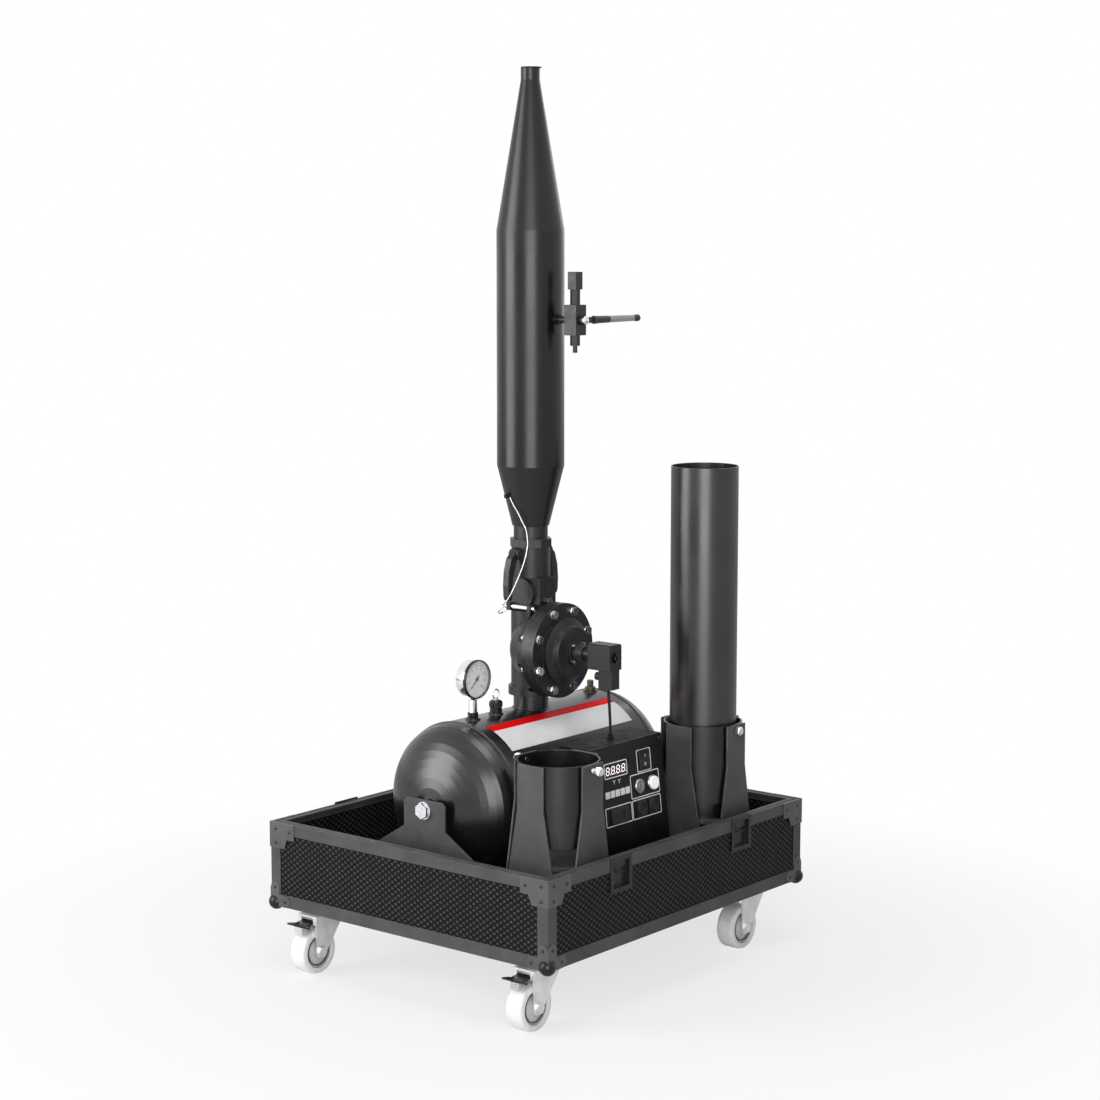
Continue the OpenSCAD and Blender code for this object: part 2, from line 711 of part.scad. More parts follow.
module valve_body() {
    color("#28282a") difference() {
        union() {
            translate([0, tank_y, valve_z]) rotate([0, 0, 30]) {
                cylinder(r = pipe_r, h = valve_h + 1);
                cylinder(r = collar_r, h = 15);
            }
            forward(drum_z) rotate([0, 0, 15]) rotate_extrude($fn = 120) polygon([
                [0, -22], [30, -22], [46, -10], [55, 0], [66, 23], [69.5, joint_d - 15], [flange_r, joint_d - 15],
                [flange_r, joint_d], [0, joint_d],
            ]);
        }
        translate([0, tank_y, valve_z - 1]) rotate([0, 0, 30]) cylinder(r = pipe_r - 10, h = drum_h - seat_r - 15);
        translate([0, tank_y, drum_z - seat_r / 2]) rotate([0, 0, 60]) cylinder(r = seat_r, h = valve_h);
        forward(drum_z) {
            translate([0, 0, -seat_r / 2]) rotate([0, 0, 20]) cylinder(r = seat_r + 1, h = joint_d + seat_r / 2 + 1);
            translate([0, 0, seat_d]) cylinder(r = diaphragm_r + 0.5, h = 10);
            translate([0, 0, joint_d - 28]) difference() {
                cylinder(r = diaphragm_r - 2, h = 30);
                translate([0, 0, -1]) cylinder(r = seat_r + 8, h = 32);
            }
            translate([0, 0, joint_d - 20]) flange_bolts_at() cylinder(r = 4.1, h = 30, $fn = 32);
            translate([0, 0, nut_seat_d - 25]) flange_bolts_at() cylinder(r = 8.6, h = 25, $fn = 32);
        }
        translate([-block_w, tank_y - block_l / 2 - 1, block_z]) cube([2 * block_w, block_l, block_h]);
        translate([-14, tank_y - joint_d + 20, drum_z - diaphragm_r + 4]) cube([28, joint_d - 20, 12]);
    }
}

module valve_cover() {
    color("#28282a") forward(drum_z) difference() {
        rotate_extrude($fn = 120) polygon([
            [diaphragm_r + 0.5, joint_d], [flange_r, joint_d], [flange_r, dome_d], [bonnet_r, dome_d], [bonnet_r, dome_d + 10],
            [bonnet_r - 12, dome_d + 14], [bonnet_r - 14, dome_d + 25], [24, dome_d + 27], [24, dome_d + 34],
            [16, dome_d + 34],
            [13, hub_d], [5 + run_gap, hub_d], [5 + run_gap, dome_d + 18], [30, dome_d + 18], [30, dome_d + 6],
            [diaphragm_r + 0.5, dome_d + 6],
        ]);
        translate([0, 0, joint_d - 1]) flange_bolts_at() cylinder(r = 4.1, h = cover_t + 2, $fn = 32);
    }
}

module valve_fasteners() {
    color("#c9cbce") {
        forward(drum_z) {
            flange_bolts_at() {
                translate([0, 0, joint_d - 24]) cylinder(r = 4, h = cover_t + 24, $fn = 32);
                translate([0, 0, dome_d]) cylinder(r = 8, h = 1.5, $fn = 32);
                translate([0, 0, dome_d + 1.5]) hexagon(13, 5);
                translate([0, 0, nut_seat_d - 6.6]) hexagon(12.6, 6.5);
            }
            translate([0, 0, nose_d]) difference() {
                hexagon(17, 6);
                translate([0, 0, -1]) cylinder(r = 4.1, h = 8, $fn = 32);
            }
            for (k = [0 : 3]) rotate([0, 0, 45 + 90 * k]) translate([20, 0, dome_d + 34]) hexagon(5, 3);
        }
        translate([0, tank_y - block_l / 2, block_z + 17]) rotate([90, 0, 0]) hexagon(11, 6);
    }
}

module diaphragm() {
    color("#3a2f2a") forward(drum_z) rotate_extrude() polygon([
        [0, seat_d + seat_gap], [seat_r + 7, seat_d + seat_gap], [seat_r + 7, joint_d - 1], [diaphragm_r, joint_d - 1],
        [diaphragm_r, joint_d + 2], [40, joint_d + 3], [20, joint_d + 5], [0, joint_d + 5],
    ]);
}

module diaphragm_spring() {
    turns = 5;
    wire_r = 1.25;
    from = joint_d + 5 + wire_r + seat_gap;
    rise = dome_d + 18 - wire_r - seat_gap - from;
    steps = turns * 10;
    color("#c9cbce") forward(drum_z)
        tube([for (k = [0 : steps]) [15 * cos(36 * k), 15 * sin(36 * k), from + rise * k / steps]], wire_r, 6, [0, 0, 1]);
}

module core_tube() {
    color("#b8babd") forward(drum_z) difference() {
        union() {
            translate([0, 0, hub_d]) cylinder(r = 10, h = coil_d - hub_d);
            translate([0, 0, coil_d - 1]) cylinder(r = 7, h = coil_l + 1);
            translate([0, 0, nose_d - 1]) cylinder(r = 4, h = 9);
        }
        translate([0, 0, hub_d - 1]) cylinder(r = 5 + run_gap, h = coil_d + coil_l * 0.7 - hub_d);
    }
}

module plunger() {
    color("#a8aaad") forward(drum_z) translate([0, 0, dome_d + 18.5]) cylinder(r = 5, h = plunger_l);
}

module coil() {
    color("#202022") forward(drum_z) translate([0, 0, coil_d]) difference() {
        translate([-coil_w / 2, -coil_h / 2, 0]) cube([coil_w, coil_h, coil_l]);
        translate([0, 0, -1]) cylinder(r = 7.1, h = coil_l + 2);
        for (sx = [-1, 1]) translate([sx * coil_w / 2, coil_h / 2, -1]) rotate([0, 0, 45]) translate([-2, -2, 0]) cube([4, 4, coil_l + 2]);
    }
}

module coil_plug() {
    color("#303033") forward(drum_z) translate([0, -coil_h / 2 - joint_gap, 0]) {
        translate([-11, -33.3, nose_d - 29]) cube([22, 33.3, 29]);
        translate([0, -13.5, nose_d - 41]) cylinder(r = 7, h = 13);
        translate([0, -33, 174]) rotate([90, 0, 0]) cylinder(r = 4, h = 0.5);
    }
}

module coil_cable() {
    color("#101010") tube(curve(cable_route, 2), cable_r, 10, [1, 0, 0]);
}

module outlet_block() {
    lug_w = 8;
    color("#232325") translate([0, tank_y, block_z]) difference() {
        union() {
            translate([-block_w / 2, -block_l / 2, 0]) cube([block_w, block_l, block_h]);
            translate([-block_w / 2 - 6, 0, block_h / 2 + 1]) rotate([0, 90, 0]) cylinder(r = 27, h = 8);
            for (y = [-31, 15])
                translate([pin_x - 6, y, 0.5]) cube([-block_w / 2 - pin_x + 7, lug_w, 13]);
        }
        translate([0, 0, -1]) cylinder(r = seat_r, h = block_h + 2);
        translate([pin_x, block_l, 7]) rotate([90, 0, 0]) cylinder(r = pin_r + run_gap, h = 2 * block_l);
    }
}

module pull_pin() {
    head_y = tank_y + 27;
    color("#aeb0b3") translate([pin_x, 0, block_z + 7]) {
        translate([0, head_y + 4, 0]) rotate([90, 0, 0]) cylinder(r = pin_r, h = 68);
        translate([0, head_y - 3, 0]) rotate([90, 0, 0]) cylinder(r = pin_r + 1.5, h = 0.8);
        translate([0, head_y, 0]) rotate([45, 0, 0]) translate([0, 0, -10.5]) rotate([90, 0, 0])
            rotate_extrude() translate([10.5, 0]) circle(r = 1.2, $fn = 16);
    }
}

module lanyard() {
    color("#d0d0d0") tube(curve(lanyard_route, 3), lanyard_r, 8, [1, -1, 0.3]);
}

// Cam coupling

cam_z = coupling_h - 11;
ear_t = 4;
cam_pin_r = 3;

module coupling_body() {
    color("#2a2a2c") translate([0, tank_y, coupling_z]) difference() {
        union() {
            cylinder(r = coupling_r, h = coupling_h);
            for (sx = [-1, 1], sy = [-1, 1]) scale_sign(sx, sy)
                translate([0, arm_t / 2 + seat_gap + ear_t, 0]) rotate([90, 0, 0]) linear_extrude(ear_t) {
                    translate([cam_x, cam_z]) circle(r = 9);
                    translate([coupling_r / 2, cam_z - 9]) square([cam_x - coupling_r / 2, 18]);
                }
            for (sx = [-1, 1]) translate([sx * cam_x, arm_t / 2 + ear_t + 2, cam_z]) rotate([90, 0, 0]) cylinder(r = cam_pin_r, h = arm_t + 2 * ear_t + 4);
        }
        translate([0, 0, -1]) cylinder(r = seat_r, h = coupling_h + 2);
        translate([0, 0, 13]) cylinder(r = spigot_r + joint_gap, h = coupling_h);
        difference() {
            for (sx = [-1, 1])
                translate([sx * cam_x - 10, -arm_t / 2 - seat_gap, cam_z - 10.5]) cube([20, arm_t + 2 * seat_gap, 30]);
            for (sx = [-1, 1]) translate([sx * cam_x, 20, cam_z]) rotate([90, 0, 0]) cylinder(r = cam_pin_r, h = 40);
        }
    }
}

// The right-hand arm; its pivot lies along Y
module cam_arm() {
    color("#2e2e30") translate([cam_x, tank_y + arm_t / 2, coupling_z + cam_z]) rotate([90, 0, 0]) difference() {
        union() {
            cylinder(r = 9.5, h = arm_t);
            linear_extrude(arm_t) polygon([
                [4.5, 8], [7.5, 6], [20, -6], [27, -28], [29, -52], [28, -72], [25, -79], [20, -79], [18, -72],
                [17, -50], [12, -28], [4, -8],
            ]);
        }
        translate([0, 0, -1]) cylinder(r = cam_pin_r + run_gap, h = arm_t + 2);
    }
}

module cam_arm_left() { mirror([1, 0, 0]) cam_arm(); }
module cam_arm_right() { cam_arm(); }

module canister_adapter() {
    color("#232325") translate([0, tank_y, coupling_z]) difference() {
        union() {
            translate([0, 0, 16]) cylinder(r = spigot_r, h = coupling_h - 15);
            translate([0, 0, coupling_h]) rotate([0, 0, 22.5]) cylinder(r = coupling_r + 4, h = ring_h, $fn = 8);
            translate([0, 0, coupling_h]) cylinder(r = coupling_r - 4, h = ring_h + neck_h);
        }
        translate([0, 0, 15]) cylinder(r = seat_r + 2, h = coupling_h + ring_h + neck_h);
        translate([0, 0, cam_z]) rotate_extrude() translate([spigot_r + 5, 0]) circle(r = 9.5);
    }
}

module canister() {
    base_r = coupling_r - 1.5;
    top_z = cone_h + barrel_h + taper_h;
    full_h = top_z + nozzle_h;
    lug_z = 54;
    color("#1b1b1d") translate([0, tank_y, can_z]) {
        rotate_extrude($fn = 120) polygon([
            [seat_r + 2, 0], [base_r, 0], [can_r, cone_h], [can_r, cone_h + barrel_h], [nozzle_r, top_z],
            [nozzle_r, full_h], [nozzle_r - can_t, full_h], [nozzle_r - can_t, top_z],
            [can_r - can_t, cone_h + barrel_h], [can_r - can_t, cone_h], [base_r - can_t, 3], [seat_r + 2, 3],
        ]);
        translate([0, 0, lug_z]) rotate([0, 0, 162]) translate([base_r + (can_r - base_r) * lug_z / cone_h - 1, 0, 0])
            rotate([0, 90, 0]) cylinder(r = 4, h = 8);
        translate([0, 1.5 - can_r, hand_h]) rotate([90, 0, 0]) cylinder(r = 9, h = 7.5);
    }
}

// Hand valve on the canister's front

module at_hand_valve() {
    translate([0, tank_y - hand_d, hand_z]) children();
}

ball_valve_r = 8;
valve_block = [28, 26, 52];
valve_head = [18, 18, 30];
grip_r = 7;

module hand_valve_body() {
    half_d = valve_block[1] / 2;
    half_h = valve_block[2] / 2;
    nut_h = 26;
    foot_h = 18;
    stud_l = hand_d - can_r - 6 - half_d;
    color("#2f2f31") at_hand_valve() difference() {
        union() {
            translate([0, 0, -half_h]) translate([-valve_block[0] / 2, -half_d, 0]) cube(valve_block);
            translate([0, 0, half_h]) hexagon(15, nut_h);
            translate([0, 0, -half_h - foot_h]) hexagon(15, foot_h);
            translate([-valve_head[0] / 2, -valve_head[1] / 2, half_h + nut_h]) cube(valve_head);
            translate([0, 0, -half_h - foot_h - 12]) cylinder(r = 4, h = 13);
            translate([0, half_d + stud_l, 0]) rotate([90, 0, 0]) cylinder(r = 6, h = stud_l + 1);
        }
        translate([0, 0, -half_h - foot_h - 16]) cylinder(r = 2.5, h = half_h + foot_h + nut_h + 46);
        translate([0, 0, half_h + nut_h + 10]) cylinder(r = 6, h = valve_head[2]);
        sphere(ball_valve_r + 0.6);
        rotate([90, 0, 0]) cylinder(r = 4 + run_gap, h = 20);
    }
}

module hand_valve_lever() {
    grip_x = 24;
    grip_l = lever_l - grip_x;
    color("#8d8f92") at_hand_valve() {
        rotate([0, 90, 0]) rotate_extrude() intersection() {
            circle(r = ball_valve_r);
            translate([2.5, -ball_valve_r]) square([ball_valve_r, 2 * ball_valve_r]);
        }
        translate([0, -ball_valve_r + 1, 0]) rotate([90, 0, 0]) cylinder(r = 4, h = 17);
        translate([0, -valve_block[1] / 2 - seat_gap, 0]) rotate([90, 0, 0]) {
            cylinder(r = 8, h = grip_r + 1);
            translate([0, 0, grip_r + 1]) hexagon(11, 4);
            translate([0, -5, grip_r - 2]) cube([grip_x + 4, 10, 4]);
        }
        translate([grip_x, -valve_block[1] / 2 - seat_gap - grip_r, 0]) rotate([0, 90, 0]) rotate_extrude() polygon([
            [0, 0], [6, 0], [grip_r, 1], [grip_r, 8], [6.5, 9], [5.2, grip_l - 11], [6, grip_l - 10],
            [6, grip_l - 3], [4, grip_l], [0, grip_l],
        ]);
    }
}

// Tube holders

module holder_spot(sx) {
    translate([sx * holder_x, -holder_y, 0]) children();
}

module screw_holes() {
    translate([0, -100, screw_z]) rotate([-90, 0, 0]) cylinder(r = screw_r + run_gap, h = 200, $fn = 32);
}

module holder_sleeves() {
    color("#202022") for (sx = [-1, 1]) holder_spot(sx) difference() {
        translate([0, 0, holder_top - sleeve_l]) cylinder(r = sleeve_r, h = sleeve_l, $fn = 96);
        translate([0, 0, holder_top - sleeve_l - 1]) cylinder(r = sleeve_r - sleeve_t, h = sleeve_l + 2, $fn = 96);
        screw_holes();
    }
}

module holder_legs() {
    neck_z = holder_h - 74;
    color("#202022") for (sx = [-1, 1]) holder_spot(sx) {
        difference() {
            for (k = [0 : 3]) rotate([0, 0, 90 * k]) translate([sleeve_r, 0, tray_z]) plate_x(sleeve_t) polygon([
                [-leg_foot_w / 2, 0], [leg_foot_w / 2, 0], [leg_top_w / 2, neck_z], [leg_top_w / 2, holder_h],
                [-leg_top_w / 2, holder_h], [-leg_top_w / 2, neck_z],
            ]);
            screw_holes();
        }
        translate([0, 0, stop_z]) linear_extrude(stop_t) intersection() {
            circle(r = sleeve_r + 6);
            square(2 * (sleeve_r - joint_gap), center = true);
        }
    }
}

module spare_tube() {
    color("#1e1e20") holder_spot(1) translate([0, 0, stop_z + stop_t]) difference() {
        cylinder(r = tube_r, h = tube_l, $fn = 96);
        translate([0, 0, -1]) cylinder(r = tube_r - tube_t, h = tube_l + 2, $fn = 96);
    }
}

// A thumb screw points to the holder's axis; tip is its distance from that axis
module thumb_screw(tip) {
    reach = sleeve_r + sleeve_t - tube_r + 1;
    translate([0, 0, screw_z]) rotate([-90, 0, 0]) translate([0, 0, tip]) {
        cylinder(r = screw_r, h = reach + 1, $fn = 32);
        translate([0, 0, reach]) cylinder(r = 8, h = 8);
        translate([0, 0, reach + 8]) cylinder(r1 = 7, r2 = 6, h = 1.5);
    }
}

clamped_tip = tube_r + seat_gap;
open_tip = sleeve_r - sleeve_t + seat_gap;

module screw_left_front() { color("silver") holder_spot(-1) rotate([0, 0, 180]) thumb_screw(open_tip); }
module screw_left_back() { color("silver") holder_spot(-1) thumb_screw(open_tip); }
module screw_right_front() { color("silver") holder_spot(1) rotate([0, 0, 180]) thumb_screw(clamped_tip); }
module screw_right_back() { color("silver") holder_spot(1) thumb_screw(clamped_tip); }

// Control box

// Side outline of the box, grown inwards by a wall, with Y forward and Z up
module box_outline(wall) {
    polygon([
        [-box_back - wall, tray_z + wall], [-box_back - wall, box_top - wall],
        [-box_back - box_top_d, box_top - wall], [-box_back - box_foot_d, tray_z + wall],
    ]);
}

// Local origin on the box's front opening at a height, with local +Z along the panel's normal
module at_panel(x, z) {
    translate([x, -box_back - box_top_d - (box_top - z) * tan(lean), z]) rotate([90 - lean, 0, 0]) children();
}

display_at = [-36, 372];
keypad_at = [-36, 332];
rocker_at = [44, 376];
key_at = [25, 333];
button_at = [62, 333];
inlet_at = [-36, 294];
sockets_at = [[26, 294], [60, 294]];

module control_box() {
    color("#1a1a1b") {
        difference() {
            translate([-box_w / 2, 0, 0]) plate_x(box_w) box_outline(0);
            translate([-box_w / 2 + sheet_t, 0, 0]) plate_x(box_w - 2 * sheet_t) polygon([
                [-box_back - sheet_t, tray_z + sheet_t], [-box_back - sheet_t, box_top - sheet_t],
                [-box_back - box_top_d - 5, box_top - sheet_t], [-box_back - box_foot_d - 5, tray_z + sheet_t],
            ]);
        }
        translate(gland_at) translate([0, 0, box_top - 0.5]) cylinder(r = 6, h = 5.5);
        translate(gland_at) translate([0, 0, box_top + 5]) cylinder(r = 4.5, h = 5);
    }
}

module panel_holes() {
    at_panel(display_at[0], display_at[1]) translate([-31, -12.5, -1]) cube([62, 25, panel_t + 2]);
    at_panel(rocker_at[0], rocker_at[1]) translate([-11, -15, -1]) cube([22, 30, panel_t + 2]);
    at_panel(key_at[0], key_at[1]) translate([0, 0, -1]) cylinder(r = key_r + 1, h = panel_t + 2);
    at_panel(button_at[0], button_at[1]) translate([0, 0, -1]) cylinder(r = button_r + 0.5, h = panel_t + 2);
}

module control_panel() {
    slope_h = box_h / cos(lean);
    color("#161617") difference() {
        at_panel(0, tray_z) translate([-box_w / 2, 0, 0]) cube([box_w, slope_h, panel_t]);
        panel_holes();
    }
}

module display() {
    color("#3a1010") at_panel(display_at[0], display_at[1])
        translate([-31 + joint_gap, -12.5 + joint_gap, -6]) cube([62 - 2 * joint_gap, 25 - 2 * joint_gap, 6 + panel_t - 0.5]);
}

module panel_fittings() {
    color("#0e0e0f") {
        at_panel(rocker_at[0], rocker_at[1]) translate([0, 0, panel_t]) difference() {
            translate([-14, -18, 0]) cube([28, 36, 2]);
            translate([-11, -15, -1]) cube([22, 30, 4]);
        }
        at_panel(inlet_at[0], inlet_at[1]) translate([0, 0, panel_t]) difference() {
            translate([-24, -14, 0]) cube([48, 28, 3]);
            translate([-12, -8, 1]) cube([24, 16, 3]);
        }
        for (p = sockets_at) at_panel(p[0], p[1]) translate([0, 0, panel_t]) difference() {
            union() {
                translate([-13, -14, 0]) cube([26, 28, 2]);
                cylinder(r = 11.5, h = 4);
            }
            translate([0, 0, 1.5]) cylinder(r = 9, h = 3);
        }
    }
    color("#8d8f92") at_panel(key_at[0], key_at[1]) translate([0, 0, panel_t]) difference() {
        cylinder(r = 13, h = 4);
        translate([0, 0, -1]) cylinder(r = key_r + run_gap, h = 6);
    }
    color("#8d8f92") at_panel(button_at[0], button_at[1]) translate([0, 0, panel_t]) difference() {
        cylinder(r = 14, h = 4);
        translate([0, 0, -1]) cylinder(r = button_r + run_gap, h = 6);
    }
    color("white") at_panel(keypad_at[0], keypad_at[1]) for (k = [-2 : 2])
        translate([k * 14 - 6, -6, panel_t]) cube([12, 12, 0.8]);
}

module rocker_switch() {
    half = 10.6;
    color("#18181a") at_panel(rocker_at[0], rocker_at[1]) translate([0, 0, panel_t]) rotate([90, 0, 90]) {
        translate([0, 0, -half]) linear_extrude(2 * half)
            polygon([[-14, -1], [14, -1], [14, 1], [13.5, 5.2], [0, 2.8], [-13.5, 3.2], [-14, 1]]);
        translate([0, 0, -half - 0.25]) cylinder(r = 2.6, h = 2 * half + 0.5);
    }
}

module key_switch() {
    color("#6f7174") at_panel(key_at[0], key_at[1]) difference() {
        translate([0, 0, -8]) cylinder(r = key_r, h = 8 + panel_t + 5);
        translate([-1.2, -4.5, panel_t + 2]) cube([2.4, 9, 4]);
    }
}

module push_button() {
    color("#f0f0f0") at_panel(button_at[0], button_at[1]) translate([0, 0, -3]) cylinder(r = button_r, h = 3 + panel_t + 8);
}

board_w = 150;
board_h = 180;
board_up = 60;
board_edge = 8;

module circuit_board() {
    color("#1f5c34") translate([-board_w / 2, -box_back - sheet_t - 10, tray_z + board_up]) {
        cube([board_w, 1.6, board_h]);
        for (p = [[20, 30, 12], [70, 60, 14], [110, 120, 10], [40, 130, 12]])
            translate([p[0], -p[2] + 0.5, p[1]]) cube([24, p[2], 30]);
        for (x = [board_edge, board_w - board_edge], z = [board_edge, board_h - board_edge])
            translate([x, 1.5, z]) rotate([-90, 0, 0]) cylinder(r = 3, h = 8.5);
    }
}

tray_floor();
case_walls();
case_edging();
corner_fittings();
latch_keepers();
caster_plates();
fork_front_left();
fork_front_right();
fork_rear_left();
fork_rear_right();
wheel_front_left();
wheel_front_right();
wheel_rear_left();
wheel_rear_right();
brake_front_left();
brake_rear_left();
tank_brackets();
pivot_bolts();
tank_shell();
gauge_case();
gauge_needle();
gauge_glass();
safety_valve();
safety_ring();
air_inlet();
valve_body();
valve_cover();
valve_fasteners();
diaphragm();
diaphragm_spring();
core_tube();
plunger();
coil();
coil_plug();
coil_cable();
outlet_block();
pull_pin();
lanyard();
coupling_body();
cam_arm_left();
cam_arm_right();
canister_adapter();
canister();
hand_valve_body();
hand_valve_lever();
holder_sleeves();
holder_legs();
spare_tube();
screw_left_front();
screw_left_back();
screw_right_front();
screw_right_back();
control_box();
control_panel();
display();
panel_fittings();
rocker_switch();
key_switch();
push_button();
circuit_board();
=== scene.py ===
"""Looks of a confetti blower on a wheeled case, built around its packed construction model.

Every length is in metres and every piece is in the model's own frame: Z is up, the control panel
faces -Y, and the origin is on the floor under the middle of the case.
"""

import json
import logging
import math
from dataclasses import dataclass, field
from enum import Enum

import bmesh
import bpy
import numpy as np
from mathutils import Matrix, Vector

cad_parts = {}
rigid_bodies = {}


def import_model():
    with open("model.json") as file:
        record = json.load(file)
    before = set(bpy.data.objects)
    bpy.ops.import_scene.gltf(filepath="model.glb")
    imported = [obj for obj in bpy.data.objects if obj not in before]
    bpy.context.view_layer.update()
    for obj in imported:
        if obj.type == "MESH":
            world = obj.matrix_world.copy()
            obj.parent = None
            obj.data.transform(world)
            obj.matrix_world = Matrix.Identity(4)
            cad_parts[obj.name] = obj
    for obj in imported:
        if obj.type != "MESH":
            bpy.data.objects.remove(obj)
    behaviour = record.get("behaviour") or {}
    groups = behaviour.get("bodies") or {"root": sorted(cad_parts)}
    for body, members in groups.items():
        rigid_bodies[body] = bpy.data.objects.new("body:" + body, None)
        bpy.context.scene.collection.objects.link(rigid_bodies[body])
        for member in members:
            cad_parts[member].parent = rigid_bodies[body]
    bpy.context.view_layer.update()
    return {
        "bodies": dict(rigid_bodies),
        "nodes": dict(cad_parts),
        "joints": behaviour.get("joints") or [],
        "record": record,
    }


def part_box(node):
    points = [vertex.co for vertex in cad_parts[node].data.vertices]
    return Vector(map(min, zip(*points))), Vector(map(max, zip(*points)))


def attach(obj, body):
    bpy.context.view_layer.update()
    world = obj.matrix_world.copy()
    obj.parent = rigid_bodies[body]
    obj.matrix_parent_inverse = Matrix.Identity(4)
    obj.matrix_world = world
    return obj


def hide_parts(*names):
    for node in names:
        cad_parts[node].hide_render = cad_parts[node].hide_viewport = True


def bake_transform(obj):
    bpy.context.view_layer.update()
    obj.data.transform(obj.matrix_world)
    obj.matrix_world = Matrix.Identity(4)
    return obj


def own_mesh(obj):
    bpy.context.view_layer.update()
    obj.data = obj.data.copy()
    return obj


MM = 0.001
UP = Vector((0, 0, 1))
FORWARDS = Vector((0, -1, 0))
FLUTE = 0.7 * MM
CORNERS = ("front_left", "front_right", "rear_left", "rear_right")
SCREWS = ("screw_left_front", "screw_left_back", "screw_right_front", "screw_right_back")
log = logging.getLogger("confetti_blower")

Array = np.ndarray
Socket = bpy.types.NodeSocket
Material = bpy.types.Material
Pair = tuple[float, float]
Point = tuple[float, float, float]
Colour = tuple[float, float, float]


# Shapes

@dataclass
class Shape:
    """Points and faces of one or more closed surfaces.

    Attributes:
        points: Places of the points, one row each.
        faces: Corner numbers of each face.
    """

    points: Array
    faces: list[list[int]]

    def moved(self, matrix: Matrix) -> "Shape":
        """Returns the shape carried by a matrix."""
        turn = np.array(matrix, float)
        return Shape(self.points @ turn[:3, :3].T + turn[:3, 3], self.faces)


def joined(shapes: list[Shape]) -> Shape:
    """Returns one shape that holds all the given ones.

    Args:
        shapes: The shapes, each with its own points.

    Returns:
        Their points in a row, with the faces' corner numbers shifted to match.
    """
    starts = np.cumsum([0] + [len(s.points) for s in shapes[:-1]])
    faces = [[c + int(start) for c in face] for s, start in zip(shapes, starts) for face in s.faces]
    return Shape(np.concatenate([s.points for s in shapes]), faces)


def lattice(points: Array, loop: bool = False) -> Shape:
    """Skins a grid of points whose columns close on themselves.

    Args:
        points: Grid of places, rows by columns by three.
        loop: True where the last row also joins the first.

    Returns:
        The shape, with a four-cornered face between neighbouring rows and columns.
    """
    rows, columns = points.shape[:2]
    number = np.arange(rows * columns).reshape(rows, columns)
    upper = np.roll(number, -1, 0) if loop else number[1:]
    lower = number if loop else number[:-1]
    faces = np.stack([lower, np.roll(lower, -1, 1), np.roll(upper, -1, 1), upper], -1)
    return Shape(points.reshape(-1, 3), faces.reshape(-1, 4).tolist())


def in_metres(profile: tuple[Pair, ...]) -> list[Pair]:
    """Turns a profile's points from millimetres into metres."""
    return [(radius * MM, height * MM) for radius, height in profile]


def revolve(
    profile: list[Pair], steps: int = 48, flutes: int = 0, depth: float = 0.0, loop: bool = False
) -> Shape:
    """Turns a profile about Z: x = r cos a, y = r sin a, with r shrunk by depth in each flute.

    Args:
        profile: Radius and height of each point, from one end on the axis to the other.
        steps: Places round the axis.
        flutes: Grooves round the axis, as on a knurled head.
        depth: How deep the grooves are where the profile is widest.
        loop: True where the profile closes on itself, as round a ring.

    Returns:
        The turned shape.
    """
    line = np.array(profile, float)
    angle = np.linspace(0, 2 * np.pi, steps, endpoint=False)
    widest = line[:, 0].max()
    bite = depth * (line[:, 0:1] > 0.95 * widest) * (0.5 - 0.5 * np.cos(flutes * angle))[None, :]
    radius = np.maximum(line[:, 0:1] - bite, 0)
    height = np.broadcast_to(line[:, 1:2], radius.shape)
    return lattice(np.stack([radius * np.cos(angle), radius * np.sin(angle), height], -1), loop)


def rounded(width: float, height: float, corner: float, steps: int = 6) -> Array:
    """Outline of a rectangle with round corners: a quarter circle at each corner.

    Args:
        width: Size along the first axis.
        height: Size along the second axis.
        corner: Radius of the corners.
        steps: Points in each quarter circle.

    Returns:
        The outline's points, anticlockwise.
    """
    angle = np.linspace(0, 2 * np.pi, 4 * steps, endpoint=False) + np.pi / (4 * steps)
    arc = np.stack([np.cos(angle), np.sin(angle)], -1)
    return np.sign(arc) * (np.array([width, height]) / 2 - corner) + arc * corner


def stacked(rings: Array, heights: Array) -> Array:
    """Lifts flat rings: the plane's two numbers of each point, then its ring's height as the third."""
    lifts = np.broadcast_to(heights[:, None, None], rings.shape[:2] + (1,))
    return np.concatenate([rings, lifts], -1)


def plateau(outline: Array, depth: float, edge: float = 0.0, base: float = 0.0) -> Shape:
    """Raises an outline to a flat top whose edge is eased by a chamfer.

    The rings are the outline at the base, the outline below the chamfer and the outline drawn in
    by the chamfer, each closed by a point at the outline's middle.

    Args:
        outline: Points of the outline in the plane.
        depth: Height of the top above the base.
        edge: Size of the chamfer.
        base: Height of the base.

    Returns:
        The closed block.
    """
    middle = (outline.max(0) + outline.min(0)) / 2
    half = (outline.max(0) - outline.min(0)) / 2
    scales = np.array([[0, 0], [1, 1], [1, 1], (half - edge) / half, [0, 0]])
    heights = base + np.array([0, 0, depth - edge, depth, depth])
    rings = middle + scales[:, None, :] * (outline - middle)[None, :, :]
    return lattice(stacked(rings, heights))


def collar(outer: Array, inner: Array, depth: float, base: float = 0.0) -> Shape:
    """Flat ring between two outlines with as many points each.

    Args:
        outer: Outline of the rim.
        inner: Outline of the hole.
        depth: Thickness of the ring.
        base: Height of its underside.

    Returns:
        The closed ring.
    """
    rings = np.stack([outer, outer, inner, inner])
    return lattice(stacked(rings, base + np.array([0, depth, depth, 0])), loop=True)


